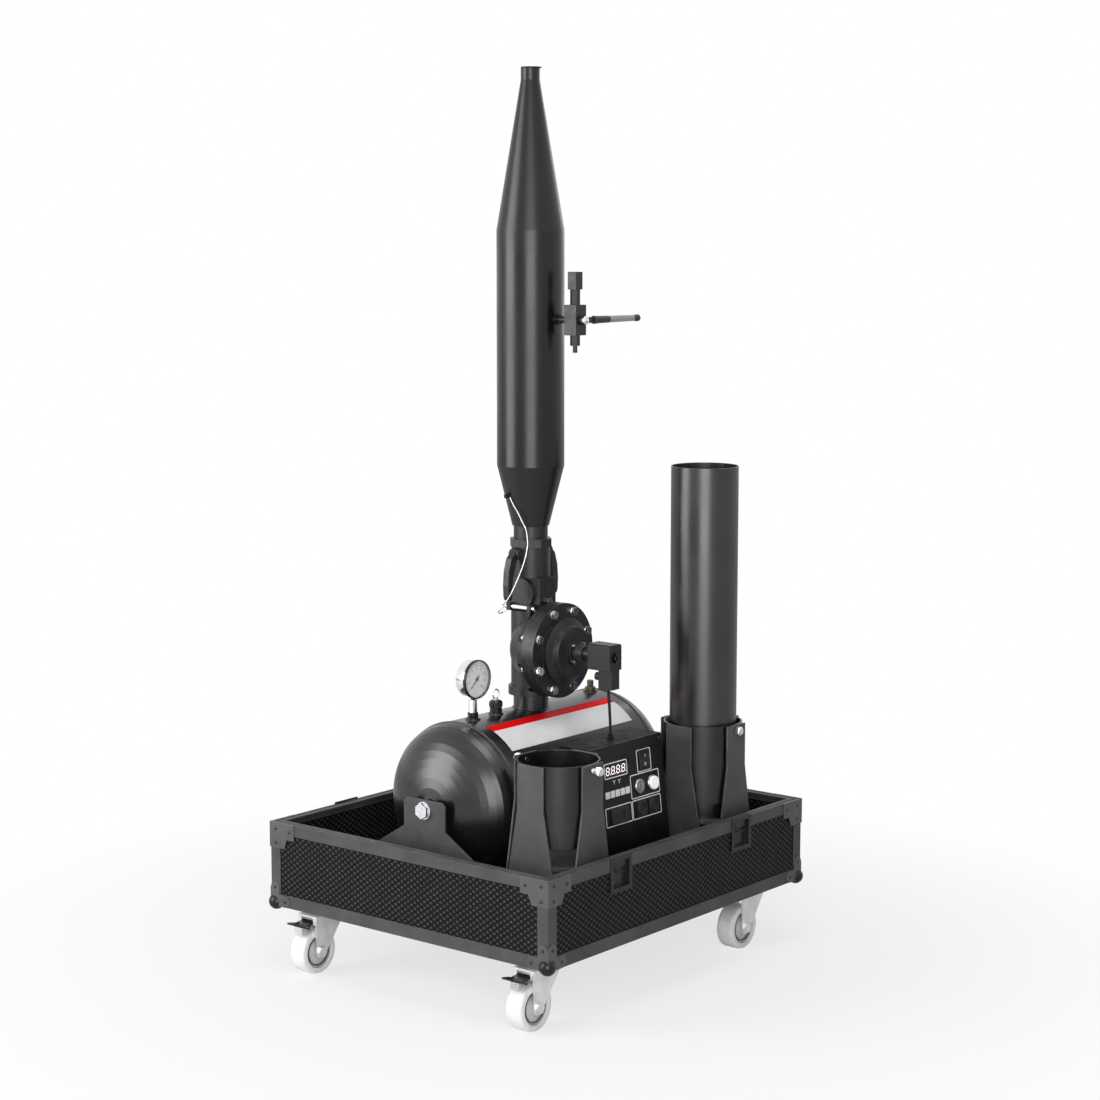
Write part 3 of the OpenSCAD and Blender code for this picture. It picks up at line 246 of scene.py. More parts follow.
def sweep(path: Array, section: Array, side: Point, loop: bool = False) -> Shape:
    """Carries a section along a path.

    At each point of the path the section's plane is spanned by the direction across the path and
    side, and by the direction across both.

    Args:
        path: Points of the centreline.
        section: Offsets in the two directions, one outline for all points or one for each.
        side: Direction that is never along the path.
        loop: True where the path closes on itself.

    Returns:
        The swept shape, with closed ends.
    """
    along = np.roll(path, -1, 0) - np.roll(path, 1, 0) if loop else np.gradient(path, axis=0)
    along /= np.linalg.norm(along, axis=1, keepdims=True)
    first = np.cross(along, np.array(side, float))
    first /= np.linalg.norm(first, axis=1, keepdims=True)
    second = np.cross(along, first)
    outline = np.broadcast_to(section, (len(path),) + section.shape[-2:])
    grid = path[:, None] + outline[..., 0:1] * first[:, None] + outline[..., 1:2] * second[:, None]
    if not loop:
        ends = [np.broadcast_to(path[k], (1,) + grid.shape[1:]) for k in (0, -1)]
        grid = np.concatenate([ends[0], grid, ends[1]])
    return lattice(grid, loop)


def circle(radius: float, steps: int) -> Array:
    """Outline of a circle: radius times cosine and sine."""
    angle = np.linspace(0, 2 * np.pi, steps, endpoint=False)
    return radius * np.stack([np.cos(angle), np.sin(angle)], -1)


def smooth_route(points: list[Point], steps: int) -> Array:
    """Catmull-Rom curve through the points of a route.

    Args:
        points: The route's own points.
        steps: Points of the curve in each stretch.

    Returns:
        Points of the curve, the route's ends included.
    """
    p = np.array(points, float)
    a, b, c, d = np.concatenate([p[:1], p[:-2]]), p[:-1], p[1:], np.concatenate([p[2:], p[-1:]])
    t = (np.arange(steps) / steps)[None, :, None]
    a, b, c, d = (q[:, None, :] for q in (a, b, c, d))
    curve = 0.5 * (2 * b + (c - a) * t + (2 * a - 5 * b + 4 * c - d) * t**2 + (3 * b - a - 3 * c + d) * t**3)
    return np.concatenate([curve.reshape(-1, 3), p[-1:]])


def stance(place: Vector, out: Vector) -> Matrix:
    """Matrix that puts local Z along a direction, with local Y as near to upright as it can be.

    Args:
        place: Where the local origin goes.
        out: Direction of local Z.

    Returns:
        The matrix, without scale.
    """
    z = out.normalized()
    x = UP.cross(z).normalized()
    y = z.cross(x)
    turn = Matrix((x, y, z)).transposed().to_4x4()
    turn.translation = place
    return turn


def make_piece(
    name: str, shape: Shape, material: Material, body: str | None, slot: str, crease: float = 35
) -> bpy.types.Object:
    """Makes a piece of the object and lets it ride on a body of the frame.

    Args:
        name: The piece's own name.
        shape: Its closed surface, in place.
        material: Its finish.
        body: The body that it moves with, or None for a piece that rides on no body.
        slot: The record's material slot that it matches, which is only logged.
        crease: Angle in degrees above which an edge stays sharp.

    Returns:
        The new object, which sits at the origin.
    """
    mesh = bpy.data.meshes.new(name)
    mesh.from_pydata(shape.points.tolist(), [], shape.faces)
    shell = bmesh.new()
    shell.from_mesh(mesh)
    bmesh.ops.remove_doubles(shell, verts=shell.verts, dist=1e-6)
    bmesh.ops.dissolve_degenerate(shell, edges=shell.edges, dist=1e-7)
    bmesh.ops.recalc_face_normals(shell, faces=shell.faces)
    shell.to_mesh(mesh)
    shell.free()
    mesh.shade_smooth()
    mesh.set_sharp_from_angle(angle=math.radians(crease))
    mesh.materials.append(material)
    piece = bpy.data.objects.new(name, mesh)
    bpy.context.scene.collection.objects.link(piece)
    if body is not None:
        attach(piece, body)
    log.info("%s: %d faces, slot %s, on %s", name, len(mesh.polygons), slot, body or "two bodies")
    return piece


def middle_of(node: str) -> Vector:
    """Middle of a node's box."""
    low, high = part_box(node)
    return (low + high) / 2


def joint_named(joints: list[dict], name: str) -> dict:
    """The frame's joint of that name."""
    return next(joint for joint in joints if joint["name"] == name)


# Finishes

class Tree:
    """A material's node tree, with short calls for the nodes that the finishes use."""

    def __init__(self, name: str) -> None:
        """Starts a material with one principled shader and the piece's own coordinates.

        Args:
            name: The material's name.
        """
        self.material = bpy.data.materials.new(name)
        self.material.use_nodes = True
        self.nodes = self.material.node_tree.nodes
        self.links = self.material.node_tree.links
        self.shader = self.nodes["Principled BSDF"]
        self.place = self.add("ShaderNodeTexCoord").outputs["Object"]

    def add(self, kind: str, **settings: object) -> bpy.types.Node:
        """Adds a node to the tree.

        Args:
            kind: The node's type.
            **settings: Its settings by name.

        Returns:
            The node.
        """
        node = self.nodes.new(kind)
        for key, value in settings.items():
            setattr(node, key, value)
        return node

    def feed(self, target: Socket, value: object) -> None:
        """Links a socket to an input, or sets the input's own value.

        Args:
            target: The input.
            value: The socket or the value.
        """
        if isinstance(value, bpy.types.NodeSocket):
            self.links.new(value, target)
        else:
            target.default_value = value

    def math(self, operation: str, first: object, second: object = 0.0) -> Socket:
        """Does one sum.

        Args:
            operation: Kind of the sum.
            first: Its first value or socket.
            second: Its second value or socket, where it has one.

        Returns:
            The result.
        """
        node = self.add("ShaderNodeMath", operation=operation)
        self.feed(node.inputs[0], first)
        self.feed(node.inputs[1], second)
        return node.outputs[0]

    def levels(self, value: Socket, low: float, high: float, to_low: float, to_high: float) -> Socket:
        """Moves a value from one range to another, held at both ends.

        Args:
            value: The value.
            low: Start of its range.
            high: End of its range.
            to_low: Start of the new range.
            to_high: End of the new range.

        Returns:
            The moved value.
        """
        node = self.add("ShaderNodeMapRange")
        for index, number in enumerate((value, low, high, to_low, to_high)):
            self.feed(node.inputs[index], number)
        return node.outputs[0]

    def noise(self, size: float, detail: float = 2.0) -> Socket:
        """Makes a cloudy value from 0 to 1.

        Args:
            size: About the size of its patches.
            detail: Number of finer clouds added to the first.

        Returns:
            The value.
        """
        node = self.add("ShaderNodeTexNoise")
        self.feed(node.inputs["Vector"], self.place)
        node.inputs["Scale"].default_value = 1 / size
        node.inputs["Detail"].default_value = detail
        return node.outputs["Fac"]

    def mix(self, share: object, first: object, second: object) -> Socket:
        """Mixes two colours.

        Args:
            share: Share of the second, from 0 to 1.
            first: A colour or socket.
            second: A colour or socket.

        Returns:
            The mixed colour.
        """
        node = self.add("ShaderNodeMix", data_type="RGBA")
        self.feed(node.inputs[0], share)
        for index, colour in ((6, first), (7, second)):
            linked = isinstance(colour, bpy.types.NodeSocket)
            self.feed(node.inputs[index], colour if linked else (*colour, 1))
        return node.outputs[2]

    def soft_normal(self, radius: float) -> Socket:
        """Eases the edges of the surface's direction.

        Args:
            radius: Radius of the easing.

        Returns:
            The eased direction.
        """
        node = self.add("ShaderNodeBevel", samples=4)
        node.inputs["Radius"].default_value = radius
        return node.outputs[0]

    def wear(self, soft: Socket) -> Socket:
        """Finds the edges, from how far the eased direction leans.

        Args:
            soft: The eased direction.

        Returns:
            1 on edges and 0 on faces.
        """
        geometry = self.add("ShaderNodeNewGeometry")
        lean = self.add("ShaderNodeVectorMath", operation="DOT_PRODUCT")
        self.feed(lean.inputs[0], soft)
        self.feed(lean.inputs[1], geometry.outputs["Normal"])
        return self.levels(lean.outputs["Value"], 0.99, 0.8, 0, 1)

    def bump(self, height: Socket, distance: float, normal: Socket) -> Socket:
        """Raises the surface by a height times a distance.

        Args:
            height: The height, from 0 to 1.
            distance: The distance.
            normal: The surface's direction before.

        Returns:
            The surface's direction after.
        """
        node = self.add("ShaderNodeBump")
        node.inputs["Strength"].default_value = 1.0
        node.inputs["Distance"].default_value = distance
        self.feed(node.inputs["Height"], height)
        self.feed(node.inputs["Normal"], normal)
        return node.outputs[0]

    def axes(self, centre: Vector | None = None) -> tuple[Socket, Socket, Socket]:
        """Reads the three coordinates.

        Args:
            centre: Point that they are counted from, or None for the origin.

        Returns:
            The coordinates along X, Y and Z.
        """
        source = self.place
        if centre is not None:
            mapping = self.add("ShaderNodeMapping")
            self.feed(mapping.inputs["Vector"], self.place)
            mapping.inputs["Location"].default_value = -centre
            source = mapping.outputs[0]
        parts = self.add("ShaderNodeSeparateXYZ")
        self.feed(parts.inputs[0], source)
        return parts.outputs[0], parts.outputs[1], parts.outputs[2]


@dataclass(frozen=True)
class Finish:
    """A painted, plated or moulded surface.

    Attributes:
        name: The material's name.
        colour: Its base colour.
        roughness: Middle of its roughness.
        metallic: 1 for bare metal.
        tone: Share by which the colour drifts in broad patches.
        patch: Size of those patches.
        grain: Size of the fine grain.
        relief: Height of the fine grain.
        edge: Radius by which the edges are eased.
        rubbed: Colour of the rubbed edges.
        rub: Share of that colour on the edges.
        gloss: Strength of the reflection of unmetalled surfaces, 0.5 being plain plastic.
        smear: Shares of the roughness on the smoothest and the dullest patches.
    """

    name: str
    colour: Colour
    roughness: float = 0.4
    metallic: float = 0.0
    tone: float = 0.15
    patch: float = 0.06
    grain: float = 0.0012
    relief: float = 0.00002
    edge: float = 0.0007
    rubbed: Colour = (0.12, 0.12, 0.125)
    rub: float = 0.35
    gloss: float = 0.4
    smear: Pair = (0.82, 1.18)

    def colours(self, tree: Tree, worn: Socket) -> Socket:
        """Makes the colour: two close tones in patches, with lighter edges.

        Args:
            tree: The material's node tree.
            worn: 1 on edges and 0 on faces.

        Returns:
            The colour.
        """
        dark = tuple(c * (1 - self.tone) for c in self.colour)
        light = tuple(min(1.0, c * (1 + self.tone)) for c in self.colour)
        cloud = tree.levels(tree.noise(self.patch, 4), 0.35, 0.65, 0, 1)
        flecks = tree.levels(tree.noise(self.patch / 6, 3), 0.42, 0.6, 0.2, 1)
        amount = tree.math("MULTIPLY", tree.math("MULTIPLY", worn, flecks), self.rub)
        return tree.mix(amount, tree.mix(cloud, dark, light), self.rubbed)

    def height(self, tree: Tree) -> Socket:
        """Returns the fine relief: noise of the grain's size."""
        return tree.noise(self.grain)

    def build(self) -> Material:
        """Makes the material.

        Returns:
            The finished material.
        """
        tree = Tree(self.name)
        soft = tree.soft_normal(self.edge)
        worn = tree.wear(soft)
        shader = tree.shader
        tree.feed(shader.inputs["Base Color"], self.colours(tree, worn))
        smooth, dull = (self.roughness * share for share in self.smear)
        roughness = tree.levels(tree.noise(self.patch / 2, 5), 0.3, 0.7, smooth, dull)
        tree.feed(shader.inputs["Roughness"], roughness)
        tree.feed(shader.inputs["Normal"], tree.bump(self.height(tree), self.relief, soft))
        shader.inputs["Metallic"].default_value = self.metallic
        shader.inputs["Specular IOR Level"].default_value = self.gloss
        return tree.material


@dataclass(frozen=True)
class Laminate(Finish):
    """Case panel whose black face is covered with small raised diamonds.

    Attributes:
        pitch: Length of the upward wave, which holds two rows of diamonds.
        stretch: Length of that wave as a share of the one along the panel.
        dot: Colour on top of a diamond.
    """

    pitch: float = 10.4 * MM
    stretch: float = 0.72
    dot: Colour = (0.055, 0.055, 0.057)

    def diamonds(self, tree: Tree) -> Socket:
        """Finds the diamonds: product of a wave along the panel and one up it.

        Args:
            tree: The material's node tree.

        Returns:
            1 on a diamond and 0 between them.
        """
        x, y, z = tree.axes()
        steps = 2 * math.pi / self.pitch
        along = tree.math("SINE", tree.math("MULTIPLY", tree.math("ADD", x, y), self.stretch * steps))
        upward = tree.math("SINE", tree.math("MULTIPLY", z, steps))
        return tree.levels(tree.math("MULTIPLY", along, upward), 0.1, 0.55, 0, 1)

    def height(self, tree: Tree) -> Socket:
        """Returns the relief of the diamonds."""
        return self.diamonds(tree)

    def colours(self, tree: Tree, worn: Socket) -> Socket:
        """Makes the colour: dark ground with lighter diamonds.

        Args:
            tree: The material's node tree.
            worn: 1 on edges and 0 on faces.

        Returns:
            The colour.
        """
        share = tree.math("MULTIPLY", self.diamonds(tree), tree.levels(tree.noise(0.03, 2), 0.3, 0.7, 0.6, 1))
        return tree.mix(share, Finish.colours(self, tree, worn), self.dot)


@dataclass(frozen=True)
class WheelFinish(Finish):
    """Moulded wheel: tread, a groove darkened with painted shade, a greyer disc and a steel bush, told apart
    by radius.

    Attributes:
        axle: A point of the wheel's axle, which lies along Y.
        disc: Colour of the disc.
        groove: Painted shade in the groove, a dark ring across the disc.
        bush: Colour of the bush.
        scuff: Colour of the scuffs on the tread.
        radii: Radii of the bush, of both sides of the groove and of the disc.
        blur: Half width of the step from one colour to the next.
    """

    axle: Point = (0, 0, 0)
    disc: Colour = (0.55, 0.55, 0.56)
    groove: Colour = (0.12, 0.12, 0.125)
    bush: Colour = (0.42, 0.42, 0.43)
    scuff: Colour = (0.4, 0.4, 0.41)
    radii: tuple[float, float, float, float] = (12.0 * MM, 23.6 * MM, 26.4 * MM, 29.2 * MM)
    blur: float = 0.4 * MM

    def colours(self, tree: Tree, worn: Socket) -> Socket:
        """Makes the colour by the distance from the axle, with painted shade in the groove and scuffs on the
        tread.

        Args:
            tree: The material's node tree.
            worn: 1 on edges and 0 on faces.

        Returns:
            The colour.
        """
        x, _, z = tree.axes(Vector(self.axle))
        square = tree.math("ADD", tree.math("MULTIPLY", x, x), tree.math("MULTIPLY", z, z))
        radius = tree.math("SQRT", square)
        bush, inner, outer, rim = self.radii
        base = Finish.colours(self, tree, worn)
        # The groove's near-black ring is painted shade in the recess.
        zones = ((rim, self.disc), (outer, self.groove), (inner, self.disc), (bush, self.bush))
        for limit, colour in zones:
            share = tree.levels(radius, limit - self.blur, limit + self.blur, 1, 0)
            base = tree.mix(share, base, colour)
        scuffs = tree.levels(tree.noise(0.009, 6), 0.56, 0.72, 0, 0.3)
        return tree.mix(scuffs, base, self.scuff)


@dataclass(frozen=True)
class CornerFinish(Finish):
    """Corner fittings, whose plates are grey and whose balls are black.

    Attributes:
        ball: Distances of a ball's centre from the middle along X and Y, and its height.
        ball_radius: Radius of a ball.
        ball_colour: Colour of the balls.
        fade: Distances outside a ball between which its colour fades out.
    """

    ball: Point = (0, 0, 0)
    ball_radius: float = 14.0 * MM
    ball_colour: Colour = (0.006, 0.006, 0.0065)
    fade: Pair = (0.1 * MM, 0.6 * MM)

    def colours(self, tree: Tree, worn: Socket) -> Socket:
        """Makes the colour by the distance from the nearest ball's centre.

        Args:
            tree: The material's node tree.
            worn: 1 on edges and 0 on faces.

        Returns:
            The colour.
        """
        x, y, z = tree.axes()
        sides = (tree.math("ABSOLUTE", x), tree.math("ABSOLUTE", y), z)
        gaps = [tree.math("SUBTRACT", side, centre) for side, centre in zip(sides, self.ball)]
        squares = [tree.math("MULTIPLY", gap, gap) for gap in gaps]
        distance = tree.math("SQRT", tree.math("ADD", tree.math("ADD", squares[0], squares[1]), squares[2]))
        near, far = (self.ball_radius + gap for gap in self.fade)
        share = tree.levels(distance, near, far, 1, 0)
        return tree.mix(share, Finish.colours(self, tree, worn), self.ball_colour)


@dataclass(frozen=True)
class BandedFinish(Finish):
    """Finish whose colour changes along one axis, where one solid has parts of several colours, and on the
    valve's fasteners where part of it gets painted shade.

    Attributes:
        axis: Number of the axis, 0 for X, 1 for Y and 2 for Z.
        bands: Places along the axis, each with the colour above it.
        blur: Half width of the step from one colour to the next.
    """

    axis: int = 0
    bands: tuple[tuple[float, Colour], ...] = ()
    blur: float = 0.3 * MM

    def colours(self, tree: Tree, worn: Socket) -> Socket:
        """Makes the colour by the place along the axis.

        Args:
            tree: The material's node tree.
            worn: 1 on edges and 0 on faces.

        Returns:
            The colour.
        """
        place = tree.axes()[self.axis]
        base = Finish.colours(self, tree, worn)
        for start, colour in self.bands:
            share = tree.levels(place, start - self.blur, start + self.blur, 0, 1)
            base = tree.mix(share, base, colour)
        return base


class Glow(Enum):
    """Lit marks of the control panel, each with its colour."""

    DIGITS = (1.0, 0.93, 0.9)
    BUTTON = (0.95, 0.96, 1.0)


def glowing(name: str, glow: Glow, strength: float) -> Material:
    """Material of a lit mark.

    Args:
        name: The material's name.
        glow: Which lit mark it is.
        strength: Light that it gives off.

    Returns:
        A satin plastic that gives off its own colour.
    """
    tree = Tree(name)
    shader = tree.shader
    speckle = tree.levels(tree.noise(0.002, 2), 0.3, 0.7, 0.9, 1.0)
    tree.feed(shader.inputs["Base Color"], tree.mix(speckle, (0.5, 0.5, 0.5), glow.value))
    shader.inputs["Emission Color"].default_value = (*glow.value, 1)
    shader.inputs["Emission Strength"].default_value = strength
    shader.inputs["Roughness"].default_value = 0.35
    return tree.material


def clear_glass(name: str) -> Material:
    """Material of the gauge's thin window, clear with a faint uneven gloss.

    Args:
        name: The material's name.

    Returns:
        The material.
    """
    tree = Tree(name)
    shader = tree.shader
    tree.feed(shader.inputs["Roughness"], tree.levels(tree.noise(0.012, 3), 0.3, 0.7, 0.0, 0.04))
    shader.inputs["Base Color"].default_value = (0.98, 0.99, 1.0, 1)
    shader.inputs["Alpha"].default_value = 0.12
    shader.inputs["IOR"].default_value = 1.5
    return tree.material


class Palette:
    """All finishes of the blower, each made once."""

    def __init__(self) -> None:
        """Makes the materials."""
        self.laminate = Laminate(
            "laminate", (0.005, 0.005, 0.0055), 0.55, grain=0.004, relief=0.0003, gloss=0.08, rub=0.2
        ).build()
        self.tray = Finish(
            "tray_board", (0.008, 0.007, 0.0065), 0.55, tone=0.3, patch=0.09, grain=0.0009,
            relief=0.00003, gloss=0.15,
        ).build()
        self.edging = Finish(
            "dark_edging", (0.075, 0.075, 0.077), 0.5, metallic=0.2, grain=0.0006, relief=0.00001, gloss=0.15,
            rubbed=(0.34, 0.34, 0.35), rub=0.7, edge=0.0006,
        ).build()
        self.case_steel = Finish(
            "case_steel", (0.022, 0.022, 0.023), 0.33, metallic=0.4, relief=0.000015, rubbed=(0.2, 0.2, 0.21),
            rub=0.55, edge=0.0006,
        ).build()
        self.zinc = Finish(
            "zinc", (0.78, 0.79, 0.8), 0.34, metallic=0.55, tone=0.08, patch=0.02, grain=0.0007,
            relief=0.00001, rubbed=(0.88, 0.88, 0.88), rub=0.5, edge=0.0005,
        ).build()
        self.powder = Finish(
            "powder_coat", (0.007, 0.007, 0.0074), 0.6, grain=0.0008, relief=0.00004,
            rubbed=(0.2, 0.2, 0.205), rub=0.6, edge=0.0008, gloss=0.1,
        ).build()
        # Painted light and shade: the holder's plates and the tank brackets get a mid grey for their lit
        # faces, and the sleeves a near-black for the shade between the plates, though all are one paint.
        self.holder = Finish(
            "holder_plate_painted_light", (0.068, 0.068, 0.07), 0.45, grain=0.0008, relief=0.00002,
            rubbed=(0.45, 0.45, 0.46), rub=0.9, edge=0.0009, gloss=0.25,
        ).build()
        # Near-black: painted shade on the sleeves between the holder's plates.
        self.sleeve = Finish(
            "holder_sleeve", (0.003, 0.003, 0.0032), 0.32, grain=0.0008, relief=0.00003,
            rubbed=(0.3, 0.3, 0.31), rub=0.8, edge=0.0007, gloss=0.5,
        ).build()
        self.tank = Finish(
            "tank_gloss", (0.005, 0.005, 0.0056), 0.27, tone=0.2, patch=0.12, grain=0.004, relief=0.00003,
            edge=0.001, gloss=0.6, rub=0.15,
        ).build()
        self.barrel = Finish(
            "barrel_satin", (0.003, 0.003, 0.0032), 0.3, tone=0.15, patch=0.2, grain=0.0011, relief=0.00001,
            edge=0.0006, gloss=0.42, rubbed=(0.2, 0.2, 0.2), rub=0.4,
        ).build()
        self.tube = Finish(
            "tube_satin", (0.003, 0.003, 0.0032), 0.3, tone=0.15, patch=0.2, grain=0.0011, relief=0.00001,
            edge=0.0006, gloss=0.85, rubbed=(0.2, 0.2, 0.2), rub=0.4,
        ).build()
        self.cast = Finish(
            "cast_black", (0.012, 0.012, 0.0125), 0.4, tone=0.2, patch=0.02, grain=0.0011, relief=0.00008,
            edge=0.0011, rubbed=(0.16, 0.16, 0.165), rub=0.6, gloss=0.4,
        ).build()
        self.bright = Finish(
            "bright_steel", (0.76, 0.77, 0.79), 0.16, metallic=1.0, tone=0.08, patch=0.01, relief=0.000008,
            rubbed=(0.9, 0.9, 0.9), edge=0.0004,
        ).build()
        self.gauge = Finish(
            "gauge_steel", (0.8, 0.81, 0.83), 0.12, metallic=1.0, tone=0.05, patch=0.02, grain=0.0006,
            relief=0.000006, rubbed=(0.9, 0.9, 0.9), edge=0.0005,
        ).build()
        self.rim = Finish(
            "gauge_rim", (0.008, 0.008, 0.0085), 0.22, relief=0.000006, gloss=0.45, rub=0.2, edge=0.0004
        ).build()
        self.brass_dark = Finish(
            "dark_brass", (0.03, 0.028, 0.024), 0.26, metallic=0.75, tone=0.3, patch=0.006, relief=0.00002,
            rubbed=(0.4, 0.35, 0.25), rub=0.7, edge=0.0005,
        ).build()
        self.brass = Finish(
            "inlet_brass", (0.09, 0.078, 0.055), 0.3, metallic=0.9, tone=0.3, patch=0.006, relief=0.00002,
            rubbed=(0.5, 0.42, 0.25), rub=0.7, edge=0.0005,
        ).build()
        self.rubber = Finish(
            "black_rubber", (0.008, 0.008, 0.008), 0.6, tone=0.2, patch=0.01, relief=0.00003,
            gloss=0.2, rub=0.1,
        ).build()
        self.core = Finish("core_steel", (0.5, 0.51, 0.53), 0.25, metallic=1.0, tone=0.1, patch=0.01).build()
        self.moulded = Finish(
            "moulded_black", (0.016, 0.016, 0.0168), 0.42, grain=0.0007, relief=0.00005,
            edge=0.0009, gloss=0.3, rub=0.25,
        ).build()
        self.rope = Finish(
            "wire_rope", (0.86, 0.87, 0.88), 0.36, metallic=0.5, tone=0.15, patch=0.002,
            relief=0.00002, edge=0.0002,
        ).build()
        self.panel = Finish(
            "panel_black", (0.0045, 0.0045, 0.005), 0.34, grain=0.0006, relief=0.00002, gloss=0.2, rub=0.4
        ).build()
        self.window = Finish(
            "display_window", (0.006, 0.003, 0.003), 0.08, tone=0.3, relief=0.000004, gloss=0.5, rub=0.1
        ).build()
        self.key = Finish(
            "key_steel", (0.3, 0.3, 0.31), 0.28, metallic=0.9, tone=0.15, patch=0.006, relief=0.00002
        ).build()
        self.print_white = Finish(
            "white_print", (0.9, 0.9, 0.9), 0.45, tone=0.05, patch=0.004, relief=0.000006, rub=0.0
        ).build()
        self.white = Finish(
            "white_plastic", (0.84, 0.84, 0.83), 0.3, tone=0.05, patch=0.006, relief=0.00001, rub=0.0
        ).build()
        self.label_white = Finish(
            "label_white", (0.93, 0.93, 0.94), 0.4, tone=0.03, patch=0.03, relief=0.00002, rub=0.0, gloss=0.25
        ).build()
        self.label_red = Finish(
            "label_red", (0.86, 0.004, 0.006), 0.5, tone=0.06, patch=0.03, relief=0.00002, rub=0.0, gloss=0.1
        ).build()
        self.ink = Finish("dial_ink", (0.015, 0.015, 0.016), 0.5, relief=0.000004, rub=0.0).build()
        self.dial = Finish(
            "dial_white", (0.84, 0.84, 0.83), 0.4, tone=0.03, patch=0.01, relief=0.000006, rub=0.0
        ).build()
        self.board = Finish("board_green", (0.012, 0.08, 0.03), 0.35, tone=0.2, patch=0.01).build()
        self.digits = glowing("lit_digits", Glow.DIGITS, 0.9)
        self.button = glowing("lit_button", Glow.BUTTON, 0.25)
        self.glass = clear_glass("gauge_window")


# Fixed pieces of the frame

def plain_finishes(palette: Palette) -> dict[str, Material]:
    """Returns the finish of each node that has only one.

    Args:
        palette: The finishes.

    Returns:
        Each node's material.
    """
    groups = {
        palette.laminate: ["case_walls"],
        palette.tray: ["tray_floor"],
        palette.edging: ["case_edging"],
        palette.zinc: ["caster_plates"] + ["fork_" + corner for corner in CORNERS],
        palette.powder: ["control_box"],
        palette.holder: ["tank_brackets", "holder_legs"],
        palette.sleeve: ["holder_sleeves"],
        palette.bright: ["pivot_bolts", "safety_ring", "diaphragm_spring", "pull_pin", *SCREWS],
        palette.tank: ["tank_shell"],
        palette.gauge: ["gauge_case"],
        palette.ink: ["gauge_needle"],
        palette.glass: ["gauge_glass"],
        palette.brass_dark: ["safety_valve"],
        palette.brass: ["air_inlet"],
        palette.cast: [
            "valve_body", "valve_cover", "outlet_block", "coupling_body", "cam_arm_left", "cam_arm_right",
            "canister_adapter", "hand_valve_body",
        ],
        palette.rubber: ["diaphragm", "coil_cable"],
        palette.case_steel: ["latch_keepers", "core_tube"],
        palette.core: ["plunger"],
        palette.moulded: ["coil", "coil_plug", "panel_fittings", "rocker_switch"],
        palette.rope: ["lanyard"],
        palette.barrel: ["canister"],
        palette.tube: ["spare_tube"],
        palette.panel: ["control_panel"],
        palette.window: ["display"],
        palette.key: ["key_switch"],
        palette.white: ["push_button"],
        palette.board: ["circuit_board"],
    }
    finishes = {node: material for material, nodes in groups.items() for node in nodes}
    for corner in CORNERS:
        wheel = "wheel_" + corner
        finishes[wheel] = WheelFinish(
            wheel, (0.82, 0.82, 0.81), 0.42, tone=0.05, patch=0.02, relief=0.00003, rub=0.0,
            axle=tuple(middle_of(wheel)),
        ).build()
    return finishes


def parted_finishes(joints: list[dict]) -> dict[str, Material]:
    """Returns the finish of each node that is one solid but has parts of several colours.

    Args:
        joints: The frame's joints.

    Returns:
        Each node's material.
    """
    low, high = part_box("corner_fittings")
    inset = 14 * MM
    finishes = {}
    finishes["corner_fittings"] = CornerFinish(
        "corner_steel", (0.085, 0.085, 0.088), 0.32, metallic=0.2, relief=0.000015,
        rubbed=(0.4, 0.4, 0.41), rub=0.7, edge=0.0007,
        ball=(high.x - inset, high.y - inset, low.z + inset), ball_radius=inset,
    ).build()
    pad = 11.5 * MM
    for corner in ("front_left", "rear_left"):
        brake = "brake_" + corner
        low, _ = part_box(brake)
        finishes[brake] = BandedFinish(
            brake, (0.55, 0.55, 0.56), 0.3, metallic=0.3, rubbed=(0.7, 0.7, 0.7), axis=2,
            bands=((low.z + pad, (0.007, 0.007, 0.008)),),
        ).build()
    # Painted shade: the fasteners on the -Y side of the coil's middle get near-black steel for the shade on
    # the nut between the coil and the cover; the rest are bright steel.
    finishes["valve_fasteners"] = BandedFinish(
        "fastener_steel_painted_shade", (0.05, 0.05, 0.052), 0.18, metallic=1.0, tone=0.08, patch=0.01,
        relief=0.000008, edge=0.0004, rubbed=(0.9, 0.9, 0.9), axis=1,
        bands=((middle_of("coil").y, (0.76, 0.77, 0.79)),),
    ).build()
    stem = joint_named(joints, "lever_turn")["pos_m"][0]
    sleeve_start, sleeve_end = stem + 0.066, stem + 0.136
    dark, pale = (0.014, 0.014, 0.0145), (0.3, 0.3, 0.31)
    finishes["hand_valve_lever"] = BandedFinish(
        "lever", dark, 0.36, relief=0.00003, edge=0.0008, axis=0,
        bands=((sleeve_start, pale), (sleeve_end, dark)),
    ).build()
    return finishes


def dress_frame(frame: dict, palette: Palette) -> None:
    """Gives each node of the frame its finish.

    Args:
        frame: What the loaded frame holds.
        palette: The finishes.
    """
    finishes = plain_finishes(palette) | parted_finishes(frame["joints"])
    for node, material in finishes.items():
        piece = frame["nodes"][node]
        if not piece.material_slots:
            piece.data.materials.append(material)
        for place in piece.material_slots:
            place.material = material


# Case

def rivet(radius: float, height: float) -> Shape:
    """Low dome on a short rim, standing on Z = 0: a quarter of an ellipse, turned about Z.

    Args:
        radius: Radius of the head.
        height: Height of the head.

    Returns:
        The head, sunk a little into what it holds.
    """
    sunk = 0.3 * MM
    rim = 0.25 * height
    angle = np.linspace(0, np.pi / 2, 5)
    dome = [(radius * math.cos(a), rim + (height - rim) * math.sin(a)) for a in angle]
    return revolve([(0, -sunk), (radius, -sunk)] + dome[:-1] + [(0, height)], 14)


